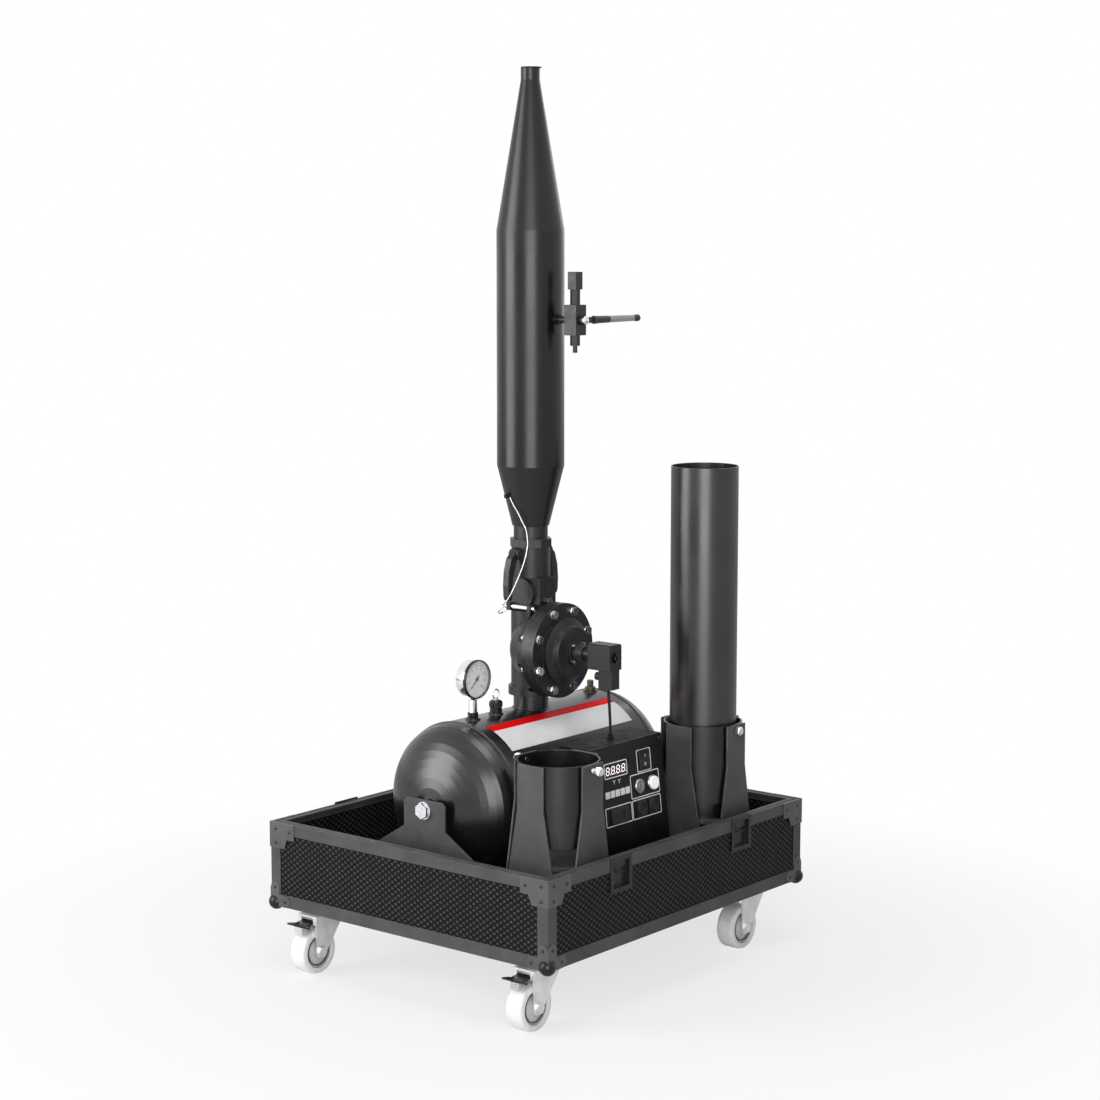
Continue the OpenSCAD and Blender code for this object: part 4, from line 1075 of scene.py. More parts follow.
@dataclass
class CaseTrim:
    """Small hardware of the case: rivets of the corners and latch keepers, and the keepers' hooks.

    Attributes:
        rivet_radius: Radius of a corner rivet's head.
        rivet_height: Height of a corner rivet's head.
        plate: Thickness of the corner plates.
        ball_rivets: Places on a ball corner's face, from the case's lower corner.
        brace_rivets: Places on a top brace's face, from the case's upper corner.
        keeper_x: Distance of the keepers from the middle.
        keeper_half: Half width and half height of the rivets round a keeper.
        small_radius: Radius of a keeper rivet's head.
        small_height: Height of a keeper rivet's head.
        hook_width: Width of a hook.
        hook_thickness: Thickness of a hook.
        hook_corner: Radius of its edges.
        hook_setback: How far a hook lies behind the keeper's front.
        hook_drop: Height from the keeper's top to the hook, and again from there to its bend.
        hook_bend: Radius of the bend.
    """

    palette: Palette
    rivet_radius: float = 3.0 * MM
    rivet_height: float = 1.4 * MM
    plate: float = 1.5 * MM
    ball_rivets: tuple[Pair, ...] = ((0.034, 0.010), (0.010, 0.034))
    brace_rivets: tuple[Pair, ...] = ((0.046, 0.014), (0.013, 0.011), (0.013, 0.036))
    keeper_x: float = 0.173
    keeper_half: Pair = (0.026, 0.024)
    small_radius: float = 2.2 * MM
    small_height: float = 1.1 * MM
    hook_width: float = 18.0 * MM
    hook_thickness: float = 1.6 * MM
    hook_corner: float = 0.7 * MM
    hook_setback: float = 7.2 * MM
    hook_drop: float = 12.0 * MM
    hook_bend: float = 3.2 * MM

    def faces(self) -> list[tuple[Vector, Vector, float]]:
        """Finds the case's four sides.

        Returns:
            Each side's middle on the outer face, its outward direction and half its width.
        """
        _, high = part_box("case_edging")
        found = []
        for out in (FORWARDS, -FORWARDS, Vector((-1, 0, 0)), Vector((1, 0, 0))):
            middle = Vector((out.x * high.x, out.y * high.y, 0))
            found.append((middle, out, high.x if out.y else high.y))
        return found

    def corner_spots(self) -> list[tuple[Vector, Vector]]:
        """Finds where the corner rivets stand.

        Returns:
            The place and direction of each rivet.
        """
        low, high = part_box("case_edging")
        rows = [(along, low.z + up) for along, up in self.ball_rivets]
        rows += [(along, high.z - down) for along, down in self.brace_rivets]
        found = []
        for middle, out, half in self.faces():
            across = UP.cross(out)
            for side in (-1, 1):
                for along, height in rows:
                    place = middle + across * side * (half - along) + out * self.plate
                    found.append((place + UP * height, out))
        return found

    def keeper_spots(self) -> list[tuple[Vector, Vector]]:
        """Finds where the rivets round the latch keepers stand.

        Returns:
            The place and direction of each rivet.
        """
        low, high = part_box("latch_keepers")
        middle = (low.z + high.z) / 2
        half_x, half_z = self.keeper_half
        found = []
        for out in (FORWARDS, -FORWARDS):
            for side in (-1, 1):
                for dx in (-half_x, half_x):
                    for dz in (-half_z, half_z):
                        place = Vector((side * self.keeper_x + dx, out.y * high.y, middle + dz))
                        found.append((place, out))
        return found

    def rivets(self, name: str, head: Shape, spots: list[tuple[Vector, Vector]], material: Material) -> None:
        """Makes one piece of all the rivets at some spots."""
        heads = [head.moved(stance(place, out)) for place, out in spots]
        make_piece(name, joined(heads), material, "case", "case_steel")

    def hooks(self) -> None:
        """Makes the four hooks: a strip bent outwards at its end, lying in each keeper's dish."""
        _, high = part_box("latch_keepers")
        section = rounded(self.hook_width, self.hook_thickness, self.hook_corner, 3)[:, ::-1]
        bend = np.linspace(0, np.pi * 0.8, 9)
        curl = self.hook_bend
        top = high.z - self.hook_drop
        foot = top - self.hook_drop
        shapes = []
        for out in (-1, 1):
            base = out * (high.y - self.hook_setback)
            arc = [(base + out * curl * (1 - math.cos(a)), foot - curl * math.sin(a)) for a in bend]
            for side in (-1, 1):
                path = np.array([(side * self.keeper_x, y, z) for y, z in [(base, top)] + arc])
                shapes.append(sweep(path, section, (1, 0, 0)))
        make_piece("keeper_hooks", joined(shapes), self.palette.case_steel, "case", "case_steel")

    def build(self) -> None:
        """Makes the rivets and the hooks."""
        head = rivet(self.rivet_radius, self.rivet_height)
        small = rivet(self.small_radius, self.small_height)
        self.rivets("corner_rivets", head, self.corner_spots(), self.palette.rim)
        self.rivets("keeper_rivets", small, self.keeper_spots(), self.palette.case_steel)
        self.hooks()


# Tank

def bead(path: Array, radius: float, pitch: float, side: Point) -> Shape:
    """Weld bead along a closed path, whose radius swells and shrinks once in each pitch.

    Args:
        path: Points of the closed path, evenly spaced.
        radius: Middle radius of the bead.
        pitch: Distance between two swells.
        side: Direction that is never along the path.

    Returns:
        The bead.
    """
    swell = 0.13
    gaps = np.linalg.norm(np.roll(path, -1, 0) - path, axis=1)
    travel = np.concatenate([[0], np.cumsum(gaps)[:-1]])
    swells = max(3, round(gaps.sum() / pitch))
    wave = 1 + swell * np.sin(2 * np.pi * swells * travel / gaps.sum())
    return sweep(path, circle(radius, 8)[None] * wave[:, None, None], side, loop=True)


@dataclass
class TankTrim:
    """Weld beads and label of the tank. A weld is its bead's radius and the pitch of its swells.

    Attributes:
        neck_radius: Radius of the outlet neck.
        port_radius: Radius of the small ports.
        boss_radius: Radius of the pivot bosses.
        head_depth: Depth of the dished ends.
        shell_half: Half length of the shell between the dished ends.
        inset: How far the shell lies inside the tank's box.
        port_weld: Weld round a small port.
        neck_weld: Weld round the outlet neck.
        end_weld: Weld round a dished end.
        end_sunk: How far that weld's middle lies inside the shell.
        boss_weld: Weld round a pivot boss.
        label_x: Half length of the label.
        label_lift: Heights of the label's front and back above the shell.
        label_angles: Label's top, the red band's foot and the label's foot, in degrees from the top.
    """

    palette: Palette
    neck_radius: float = 0.031
    port_radius: float = 0.012
    boss_radius: float = 0.020
    head_depth: float = 0.075
    shell_half: float = 0.195
    inset: float = 1.7 * MM
    port_weld: Pair = (1.4 * MM, 2.8 * MM)
    neck_weld: Pair = (2.2 * MM, 2.8 * MM)
    end_weld: Pair = (2.4 * MM, 4.2 * MM)
    end_sunk: float = 0.6 * MM
    boss_weld: Pair = (1.7 * MM, 3.0 * MM)
    label_x: float = 0.168
    label_lift: Pair = (0.45 * MM, 0.05 * MM)
    label_angles: Point = (17.0, 24.5, 45.5)

    def __post_init__(self) -> None:
        """Reads the tank's axis and radius from the frame."""
        low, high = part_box("tank_shell")
        self.radius = (high.y - low.y) / 2 - self.inset
        self.axis = Vector((0, (high.y + low.y) / 2, low.z + (high.y - low.y) / 2))

    def on_shell(self, x: Array, angle: Array, lift: float) -> Array:
        """Places on the shell or above it: a circle about the axis, repeated along it.

        Args:
            x: Places along the axis.
            angle: Angles from the top towards the front.
            lift: Height above the shell.

        Returns:
            The places, one for each pair.
        """
        radius = self.radius + lift
        y = self.axis.y - radius * np.sin(angle)
        z = self.axis.z + radius * np.cos(angle)
        return np.stack(np.broadcast_arrays(x, y, z), -1)

    def label(self, name: str, start: float, end: float, material: Material) -> None:
        """Makes one field of the label, a thin sheet that follows the shell.

        Args:
            name: Name of the piece.
            start: Angle of its upper edge, in degrees from the top.
            end: Angle of its lower edge.
            material: Its finish.
        """
        x = np.linspace(-self.label_x, self.label_x, 24)[:, None]
        angle = np.radians(np.linspace(start, end, 12))[None, :]
        outer, inner = (self.on_shell(x, angle, lift) for lift in self.label_lift)
        ring = np.concatenate([outer, inner[:, ::-1]], 1)
        shape = lattice(ring)
        columns = ring.shape[1]
        last = (len(x) - 1) * columns
        caps = [[k, k + 1, columns - 2 - k, columns - 1 - k] for k in range(columns // 2 - 1)]
        shape.faces += caps + [[last + c for c in reversed(cap)] for cap in caps]
        make_piece(name, shape, material, "tank", "tank_paint", 50)

    def port_bead(self, x: float, port: float, weld: Pair) -> Shape:
        """Bead where an upright pipe meets the shell: a circle seen from above, laid on the cylinder.

        Args:
            x: Place of the pipe along the tank.
            port: Radius of the pipe.
            weld: The weld.

        Returns:
            The bead.
        """
        turn = np.linspace(0, 2 * np.pi, 160, endpoint=False)
        dx, dy = port * np.cos(turn), port * np.sin(turn)
        z = self.axis.z + np.sqrt(self.radius**2 - dy**2)
        return bead(np.stack([x + dx, self.axis.y + dy, z], -1), *weld, (0, 0, 1))

    def round_bead(self, x: float, radius: float, steps: int, weld: Pair) -> Shape:
        """Bead in a circle round the tank's axis.

        Args:
            x: Place along the axis.
            radius: Radius of the circle.
            steps: Points of the circle.
            weld: The weld.

        Returns:
            The bead.
        """
        y, z = circle(radius, steps).T
        path = np.stack([np.full(steps, x), self.axis.y + y, self.axis.z + z], -1)
        return bead(path, *weld, (1, 0, 0))

    def build(self) -> None:
        """Makes the beads and the label."""
        ports = [middle_of(node).x for node in ("safety_valve", "air_inlet", "gauge_case")]
        beads = [self.port_bead(x, self.port_radius, self.port_weld) for x in ports]
        beads.append(self.port_bead(0, self.neck_radius, self.neck_weld))
        reach = self.head_depth * math.sqrt(1 - (self.boss_radius / self.radius) ** 2)
        rounds = (
            (self.shell_half, self.radius - self.end_sunk, 900, self.end_weld),
            (self.shell_half + reach, self.boss_radius, 120, self.boss_weld),
        )
        for x, *rest in rounds:
            beads += [self.round_bead(side * x, *rest) for side in (-1, 1)]
        make_piece("tank_welds", joined(beads), self.palette.tank, "tank", "tank_paint", 60)
        top, band, foot = self.label_angles
        self.label("label_band", top, band, self.palette.label_red)
        self.label("label_field", band, foot, self.palette.label_white)


# Gauge

@dataclass
class Gauge:
    """Pressure gauge: chromed cup on its stem, black rim, window and a white dial with printed marks.

    The profiles are radius and height in millimetres, from the front of the rim or, for the neck,
    from the top of the port.

    Attributes:
        radius: Radius of the dial.
        depth: How far the dial's face lies behind the front of the rim.
        disc: Thickness of the dial.
        cup: Profile of the chromed cup.
        rim: Profile of the black rim.
        pane: Profile of the window.
        neck: Profile of the neck below the cup.
        bar_width: Width of the square bar below the neck.
        bar_foot: Height of the bar's foot above the port.
        bar_length: Length of the bar.
        nut_radius: Radius of the nut on the port.
        nut_height: Height of the nut.
        marks: Number of long ticks.
        start: Angle of the first tick, clockwise from the top, in degrees.
        span: Angle between the first and last tick.
        parts: Parts of the scale between two long ticks.
        long_tick: Length and width of a long tick.
        short_tick: Length and width of a short tick.
        tick_reach: Share of the radius that the ticks' outer ends reach.
        line_reach: Share of the radius at which the scale's line lies.
        number_reach: Share of the radius at which the numbers' middles lie.
        number_size: Height of the numbers' letters.
        ink: Height of the print above the dial.
    """

    palette: Palette
    radius: float = 31.2 * MM
    depth: float = 4.8 * MM
    disc: float = 0.6 * MM
    cup: tuple[Pair, ...] = (
        (0, -26), (29, -26), (30.4, -25.4), (31, -24), (31, -5.5), (29.5, -5.5), (29.5, -24.5), (0, -24.5),
    )
    rim: tuple[Pair, ...] = (
        (31.6, -6), (34, -6), (34, -1.4), (33.5, -0.4), (32.6, 0), (32, -0.5), (31.6, -1),
    )
    pane: tuple[Pair, ...] = ((0, -2.2), (31.2, -2.2), (31.2, -1), (0, -1))
    neck: tuple[Pair, ...] = ((0, 31.6), (4.4, 31.6), (3.4, 33.4), (3.4, 41), (0, 41))
    bar_width: float = 11.2 * MM
    bar_foot: float = 9.5 * MM
    bar_length: float = 22.5 * MM
    nut_radius: float = 9.4 * MM
    nut_height: float = 9.8 * MM
    marks: int = 9
    start: float = -135
    span: float = 270
    parts: int = 5
    long_tick: Pair = (5.0 * MM, 0.8 * MM)
    short_tick: Pair = (2.6 * MM, 0.4 * MM)
    tick_reach: float = 0.92
    line_reach: float = 0.78
    number_reach: float = 0.62
    number_size: float = 5.8 * MM
    ink: float = 0.1 * MM

    def __post_init__(self) -> None:
        """Finds the gauge's own frame, whose Z points forwards from the front of its rim, and the port."""
        low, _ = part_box("gauge_case")
        middle = middle_of("gauge_glass")
        self.face = stance(Vector((middle.x, low.y, middle.z)), FORWARDS)
        self.port = Matrix.Translation((middle.x, middle_of("safety_valve").y, low.z))

    def case(self) -> None:
        """Makes the cup, the rim, the window and the stepped stem."""
        easing = 0.6 * MM
        square = rounded(self.bar_width, self.bar_width, 2 * easing, 3)
        bar = plateau(square, self.bar_length, easing, self.bar_foot).moved(self.port)
        bright = [revolve(in_metres(self.cup), 96).moved(self.face), bar]
        piece = make_piece("gauge_cup", joined(bright), self.palette.gauge, "tank", "gauge_steel")
        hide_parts("gauge_case")
        nut = plateau(circle(self.nut_radius, 6), self.nut_height, easing).moved(self.port)
        neck = revolve(in_metres(self.neck), 24).moved(self.port)
        black = [revolve(in_metres(self.rim), 96, loop=True).moved(self.face), nut, neck]
        make_piece("gauge_rim", joined(black), self.palette.rim, "tank", "needle_black")
        pane = revolve(in_metres(self.pane), 96).moved(self.face)
        window = make_piece("gauge_window", pane, self.palette.glass, "tank", "gauge_glass")
        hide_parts("gauge_glass")

    def tick(self, turn: float, size: Pair) -> Shape:
        """One printed tick, its outer end near the disc's edge.

        Args:
            turn: Its angle, clockwise from the top, in degrees.
            size: Its length and width.

        Returns:
            The tick, in the gauge's own frame.
        """
        length, width = size
        middle = self.radius * self.tick_reach - length / 2
        outline = rounded(width, length, width * 0.3, 2) + np.array([0, middle])
        place = Matrix.Translation((0, 0, -self.depth)) @ Matrix.Rotation(-math.radians(turn), 4, "Z")
        return plateau(outline, 1.2 * self.ink).moved(place)

    def numeral(self, value: int, turn: float) -> Shape:
        """A small number beside a long tick, from the built-in letters.

        Args:
            value: The number.
            turn: Angle of its tick, clockwise from the top, in degrees.

        Returns:
            The number, in the gauge's own frame.
        """
        text = bpy.data.curves.new("numeral", "FONT")
        text.body = str(value)
        text.size = self.number_size
        text.extrude = 0.6 * self.ink
        text.align_x, text.align_y = "CENTER", "CENTER"
        holder = bpy.data.objects.new("numeral", text)
        bpy.context.scene.collection.objects.link(holder)
        bpy.context.view_layer.update()
        solid = holder.evaluated_get(bpy.context.evaluated_depsgraph_get())
        mesh = bpy.data.meshes.new_from_object(solid)
        bpy.data.objects.remove(holder)
        points = np.zeros(len(mesh.vertices) * 3)
        mesh.vertices.foreach_get("co", points)
        faces = [list(face.vertices) for face in mesh.polygons]
        bpy.data.meshes.remove(mesh)
        angle = math.radians(turn)
        reach = self.radius * self.number_reach
        middle = np.array([reach * math.sin(angle), reach * math.cos(angle), self.ink - self.depth])
        return Shape(points.reshape(-1, 3) + middle, faces)

    def dial(self) -> None:
        """Makes the disc, the ticks, the numbers and the line of the scale."""
        face = -self.depth
        back = face - self.disc
        disc = revolve([(0, back), (self.radius, back), (self.radius, face), (0, face)], 72)
        make_piece("gauge_dial", disc.moved(self.face), self.palette.dial, "tank", "white_plastic")
        step = self.span / (self.marks - 1)
        turns = [self.start + step * k for k in range(self.marks)]
        fine = [k for k in range(self.parts * (self.marks - 1)) if k % self.parts]
        ink = [self.tick(turn, self.long_tick) for turn in turns]
        ink += [self.tick(self.start + step * k / self.parts, self.short_tick) for k in fine]
        ink += [self.numeral(2 * k, turn) for k, turn in enumerate(turns)]
        arc = np.radians(np.linspace(self.start, self.start + self.span, 90))
        reach = self.radius * self.line_reach
        line = np.stack([reach * np.sin(arc), reach * np.cos(arc), np.full_like(arc, self.ink + face)], -1)
        stroke = rounded(0.4 * MM, 0.2 * MM, 0.06 * MM, 2)
        ink.append(sweep(line, stroke, (0, 0, 1)))
        make_piece("dial_marks", joined(ink).moved(self.face), self.palette.ink, "tank", "needle_black", 30)

    def build(self) -> None:
        """Makes the whole gauge but its needle, which the frame has."""
        self.case()
        self.dial()


# Valves, coupling and barrel

@dataclass
class ValveTrim:
    """Turned and knurled details of the valves, the lever's stem, the diaphragm's spring and the canister.

    The profiles are radius and height in millimetres.

    Attributes:
        knurl: Profile of the safety valve's knurled band.
        knurl_foot: Height of the band above the valve's foot.
        nut: Profile of the round nut on the hand lever's stem, from the front of the hexagon.
        nut_setback: How far the hexagon on the lever's hub lies behind the front of its grip.
        mouth_radius: Radius of the lip at the canister's mouth.
        lip_radius: Radius of the lip's section.
        lip_drop: How far the lip's middle lies below the mouth.
        spring_wire: Radius of the diaphragm spring's wire.
        spring_turns: Turns of that spring.
    """

    palette: Palette
    knurl: tuple[Pair, ...] = ((10.5, 0), (11.9, 0.8), (11.9, 7.6), (10.5, 8.4))
    knurl_foot: float = 10.2 * MM
    nut: tuple[Pair, ...] = (
        (0, -4.2), (6.9, -4.2), (7.5, -3.6), (7.5, -1), (6.7, -0.1), (5.1, 0.3), (4.7, -0.1),
        (4.1, 0.6), (2.3, 1.3), (0, 1.6),
    )
    nut_setback: float = 2.0 * MM
    mouth_radius: float = 16.4 * MM
    lip_radius: float = 1.1 * MM
    lip_drop: float = 1.2 * MM
    spring_wire: float = 1.25 * MM
    spring_turns: int = 5

    def safety_knurl(self) -> None:
        """Makes the knurled band of the safety valve."""
        low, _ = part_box("safety_valve")
        centre = middle_of("safety_valve")
        band = revolve(in_metres(self.knurl), 144, 24, FLUTE, loop=True)
        shape = band.moved(Matrix.Translation((centre.x, centre.y, low.z + self.knurl_foot)))
        make_piece("safety_knurl", shape, self.palette.brass_dark, "tank", "dark_brass", 40)

    def stem_nut(self, joints: list[dict]) -> None:
        """Makes the round chrome nut over the hexagon on the hand lever's stem.

        Args:
            joints: The frame's joints.
        """
        low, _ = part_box("hand_valve_lever")
        stem = Vector(joint_named(joints, "lever_turn")["pos_m"])
        place = Vector((stem.x, low.y + self.nut_setback, stem.z))
        shape = revolve(in_metres(self.nut), 48).moved(stance(place, FORWARDS))
        make_piece("stem_nut", shape, self.palette.bright, "hand_valve_lever", "bright_steel", 30)

    def nozzle_lip(self) -> None:
        """Makes the rolled lip at the canister's mouth."""
        _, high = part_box("canister")
        centre = np.array([0, middle_of("canister").y, high.z - self.lip_drop])
        path = np.concatenate([circle(self.mouth_radius, 96), np.zeros((96, 1))], 1) + centre
        lip = sweep(path, circle(self.lip_radius, 10), (0, 0, 1), True)
        make_piece("nozzle_lip", lip, self.palette.barrel, "tank", "barrel_paint")

    def spring(self) -> None:
        """Makes the diaphragm's spring, a helix about Y.
        """
        low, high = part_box("diaphragm_spring")
        middle = middle_of("diaphragm_spring")
        turn = np.linspace(0, 2 * np.pi * self.spring_turns, 24 * self.spring_turns + 1)
        radius = (high.x - low.x) / 2 - self.spring_wire
        along = np.linspace(high.y - self.spring_wire, low.y + self.spring_wire, len(turn))
        helix = np.stack([middle.x + radius * np.cos(turn), along, middle.z + radius * np.sin(turn)], -1)
        wire = sweep(helix, circle(self.spring_wire, 10), (0, 1, 0))
        piece = make_piece("valve_spring", wire, self.palette.bright, "tank", "bright_steel", 60)
        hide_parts("diaphragm_spring")
        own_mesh(piece)

    def build(self, joints: list[dict]) -> None:
        """Makes all of these details.

        Args:
            joints: The frame's joints.
        """
        self.spring()
        self.safety_knurl()
        self.stem_nut(joints)
        self.nozzle_lip()


# Tube holders

@dataclass
class ThumbScrews:
    """Four knurled thumb screws that stand for the plain ones.

    Attributes:
        head_radius: Radius of a head.
        head_length: Length of a head.
        easing: Chamfer of a head.
        cap_height: Height of the stepped cap on a head.
        shank_radius: Radius of the threaded part.
        groove: Depth of the thread.
        pitch: Pitch of the thread.
        crest: Share of the pitch at which the thread is widest.
        sunk: How far two parts of a screw reach into each other.
    """

    palette: Palette
    head_radius: float = 8.0 * MM
    head_length: float = 8.0 * MM
    easing: float = 1.0 * MM
    cap_height: float = 1.5 * MM
    shank_radius: float = 3.95 * MM
    groove: float = 0.6 * MM
    pitch: float = 1.25 * MM
    crest: float = 0.6
    sunk: float = 0.2 * MM

    def shape(self, length: float) -> Shape:
        """One screw along Z, its tip at Z = 0: thread ridges, a knurled head and a stepped cap.

        Args:
            length: Length of the screw with its head and cap.

        Returns:
            The screw.
        """
        shank = length - self.head_length - self.cap_height
        wide, narrow = self.shank_radius, self.shank_radius - self.groove
        ridge = [(0, 0), (narrow, 0)]
        for k in range(int(shank / self.pitch)):
            ridge += [(wide, (k + self.crest) * self.pitch), (narrow, (k + 1) * self.pitch)]
        ridge += [(narrow, shank + self.sunk), (0, shank + self.sunk)]
        r, h, ease = self.head_radius, self.head_length, self.easing
        head = [(0, 0), (r - ease, 0), (r, 0.8 * ease), (r, h - 0.8 * ease), (r - ease, h), (0, h)]
        foot, top = h - self.sunk, h + self.cap_height
        cap = [(0, foot), (r - 1.1 * ease, foot), (r - 1.4 * ease, h + ease), (r - 2 * ease, top), (0, top)]
        upper = joined([revolve(head, 120, 30, FLUTE), revolve(cap, 36)])
        return joined([revolve(ridge, 24), upper.moved(Matrix.Translation((0, 0, shank)))])

    def build(self) -> None:
        """Makes the screws where the frame has them, and hides the plain ones."""
        for node in SCREWS:
            low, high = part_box(node)
            middle = (low + high) / 2
            out = -1 if node.endswith("front") else 1
            tip = high.y if out < 0 else low.y
            place = stance(Vector((middle.x, tip, middle.z)), Vector((0, out, 0)))
            screw = self.shape(high.y - low.y).moved(place)
            piece = make_piece("knurled_" + node, screw, self.palette.bright, node, "bright_steel", 30)
            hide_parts(node)


# Control box

# Each segment of a digit: its place across in widths and up in half heights, and whether it lies flat.
SEGMENTS = {
    "top": (0.0, 1.0, True),
    "middle": (0.0, 0.0, True),
    "bottom": (0.0, -1.0, True),
    "upper_left": (-0.5, 0.5, False),
    "upper_right": (0.5, 0.5, False),
    "lower_left": (-0.5, -0.5, False),
    "lower_right": (0.5, -0.5, False),
}


@dataclass
class ControlFace:
    """What stands on the leaning control panel. Places are sideways and upward, in metres.

    An outline is its width, its height and the radius of its corners. The profiles are radius and
    height in millimetres, from the panel's front.

    Attributes:
        display: Middle of the display.
        rocker: Middle of the rocker switch.
        keypad: Middle of the row of keys.
        key: Middle of the key switch.
        button: Middle of the push button.
        inlet: Middle of the power inlet.
        sockets: Middles of the two round sockets.
        frames: Middle and size of each printed frame.
        forks: Middles of the two forked marks.
        screws: Places of the panel's screws.
        digit_step: Distance between two digits.
        digit_width: Width of a digit.
        digit_half: Half height of a digit.
        digit_bar: Width of a segment.
        digit_lean: How far a digit leans sideways for each length upwards.
        digit_height: Height of the segments.
        digit_sunk: How far they are sunk into the window.
        frame_line: Width of a printed frame's line.
        frame_corner: Radius of its corners.
        key_block: Outline of a key of the keypad.
        key_step: Distance between two keys.
        key_ring: Inner and outer radius of the turned ring round the key switch, in millimetres.
        button_ring: The same of the ring round the push button.
        rocker_hole: Outline of the rocker's opening.
        rocker_frame: Outline of the frame round it.
        rocker_lip: Outline of the step on that frame.
        mark_gap: Distance of the rocker's marks from its middle.
        mark_lifts: Heights of its upper and lower mark above the panel.
        mark_leans: Turns of the two marks with the rocker's faces, in degrees.
        inlet_frame: Outline of the power inlet.
        inlet_hole: Outline of its opening.
        inlet_floor: Outline of its floor.
        blade: Outline of one of its blades.
        blades: Middles of the blades, from the inlet's middle.
        socket_plate: Outline of a round socket's plate.
        socket_hole: Radius of the hole in the plate.
        socket_rim: Profile of its rim.
        socket_floor: Profile of its floor.
        pins: Middles of its pins, from the socket's middle.
        pin_radius: Radius of a pin.
        cap: Profile of the push button's lit cap.
        screw: Profile of a panel screw.
        thickness: Distance from the key switch's own point to the panel's front.
        origin: A point of the panel's plane, read from the frame.
        normal: Direction in which the panel faces, read from the frame.
    """

    palette: Palette
    display: Pair = (-0.036, 0.372)
    rocker: Pair = (0.044, 0.376)
    keypad: Pair = (-0.036, 0.332)
    key: Pair = (0.025, 0.333)
    button: Pair = (0.062, 0.333)
    inlet: Pair = (-0.036, 0.294)
    sockets: tuple[Pair, ...] = ((0.026, 0.294), (0.060, 0.294))
    frames: tuple[tuple[float, float, float, float], ...] = (
        (0.042, 0.334, 0.082, 0.042), (0.042, 0.294, 0.082, 0.034), (-0.037, 0.294, 0.074, 0.034),
        (0.044, 0.3755, 0.040, 0.039), (-0.036, 0.3725, 0.064, 0.027),
    )
    forks: tuple[Pair, ...] = ((-0.043, 0.3515), (-0.029, 0.3515))
    screws: tuple[Pair, ...] = ((-0.092, 0.406), (0.092, 0.406), (-0.092, 0.138), (0.092, 0.138))
    digit_step: float = 14.5 * MM
    digit_width: float = 8.2 * MM
    digit_half: float = 6.2 * MM
    digit_bar: float = 1.6 * MM
    digit_lean: float = 0.12
    digit_height: float = 0.4 * MM
    digit_sunk: float = 0.6 * MM
    frame_line: float = 1.8 * MM
    frame_corner: float = 3.2 * MM
    key_block: Point = (11.8 * MM, 11.8 * MM, 1.4 * MM)
    key_step: float = 14.0 * MM
    key_ring: Pair = (8.1, 13.2)
    button_ring: Pair = (11.6, 14.1)
    rocker_hole: Point = (21.8 * MM, 29.8 * MM, 1.0 * MM)
    rocker_frame: Point = (28.0 * MM, 36.0 * MM, 2.0 * MM)
    rocker_lip: Point = (26.2 * MM, 34.2 * MM, 1.6 * MM)
    mark_gap: float = 7.2 * MM
    mark_lifts: Pair = (4.1 * MM, 3.0 * MM)
    mark_leans: Pair = (10.0, -1.7)
    inlet_frame: Point = (48.0 * MM, 28.0 * MM, 3.0 * MM)
    inlet_hole: Point = (24.2 * MM, 16.2 * MM, 2.0 * MM)
    inlet_floor: Point = (24.5 * MM, 16.5 * MM, 2.0 * MM)
    blade: Point = (1.8 * MM, 4.5 * MM, 0.4 * MM)
    blades: tuple[Pair, ...] = ((-5.5 * MM, 1.2 * MM), (5.5 * MM, 1.2 * MM), (0, -3.0 * MM))
    socket_plate: Point = (26.0 * MM, 28.0 * MM, 3.0 * MM)
    socket_hole: float = 9.8 * MM
    socket_rim: tuple[Pair, ...] = ((9, 0.8), (11.5, 0.8), (11.5, 3.4), (10.9, 4), (9.4, 4), (9, 3.6))
    socket_floor: tuple[Pair, ...] = ((0, 0.6), (9.2, 0.6), (9.2, 1.6), (0, 1.6))
    pins: tuple[Pair, ...] = ((-4.2 * MM, 2.0 * MM), (4.2 * MM, 2.0 * MM), (0, -4.2 * MM))
    pin_radius: float = 1.1 * MM
    cap: tuple[Pair, ...] = (
        (0, -3), (11.5, -3), (11.5, 6.6), (10.8, 7.7), (9.6, 8), (5.2, 7.9), (4.6, 7.4), (4, 7.9), (0, 8),
    )
    screw: tuple[Pair, ...] = ((0, 0), (3.4, 0), (3.4, 0.6), (2.8, 1.6), (1.8, 2), (1.6, 0.8), (0, 0.8))
    thickness: float = 2.0 * MM
    origin: Vector = field(default_factory=Vector)
    normal: Vector = field(default_factory=Vector)

    def read_lean(self, joints: list[dict]) -> None:
        """Takes the panel's plane from the key switch's axis, which stands square on it.

        Args:
            joints: The frame's joints.
        """
        turn = joint_named(joints, "key_turn")
        self.origin = Vector(turn["pos_m"])
        self.normal = Vector(turn["axis"]).normalized()

    def at(self, place: Pair, lift: float = 0.0) -> Matrix:
        """Finds a spot on the panel's front, with local Z outwards and local Y up the panel.

        Args:
            place: The spot, sideways and upward.
            lift: Height above the panel.

        Returns:
            The matrix of the spot.
        """
        x, z = place
        y = self.origin.y - self.normal.z / self.normal.y * (z - self.origin.z)
        return stance(Vector((x, y, z)) + self.normal * (self.thickness + lift), self.normal)

    def put(
        self, name: str, shapes: list[Shape], material: Material, body: str, slot: str
    ) -> bpy.types.Object:
        """Makes a piece from shapes that are already in place."""
        return make_piece(name, joined(shapes), material, body, slot, 32)

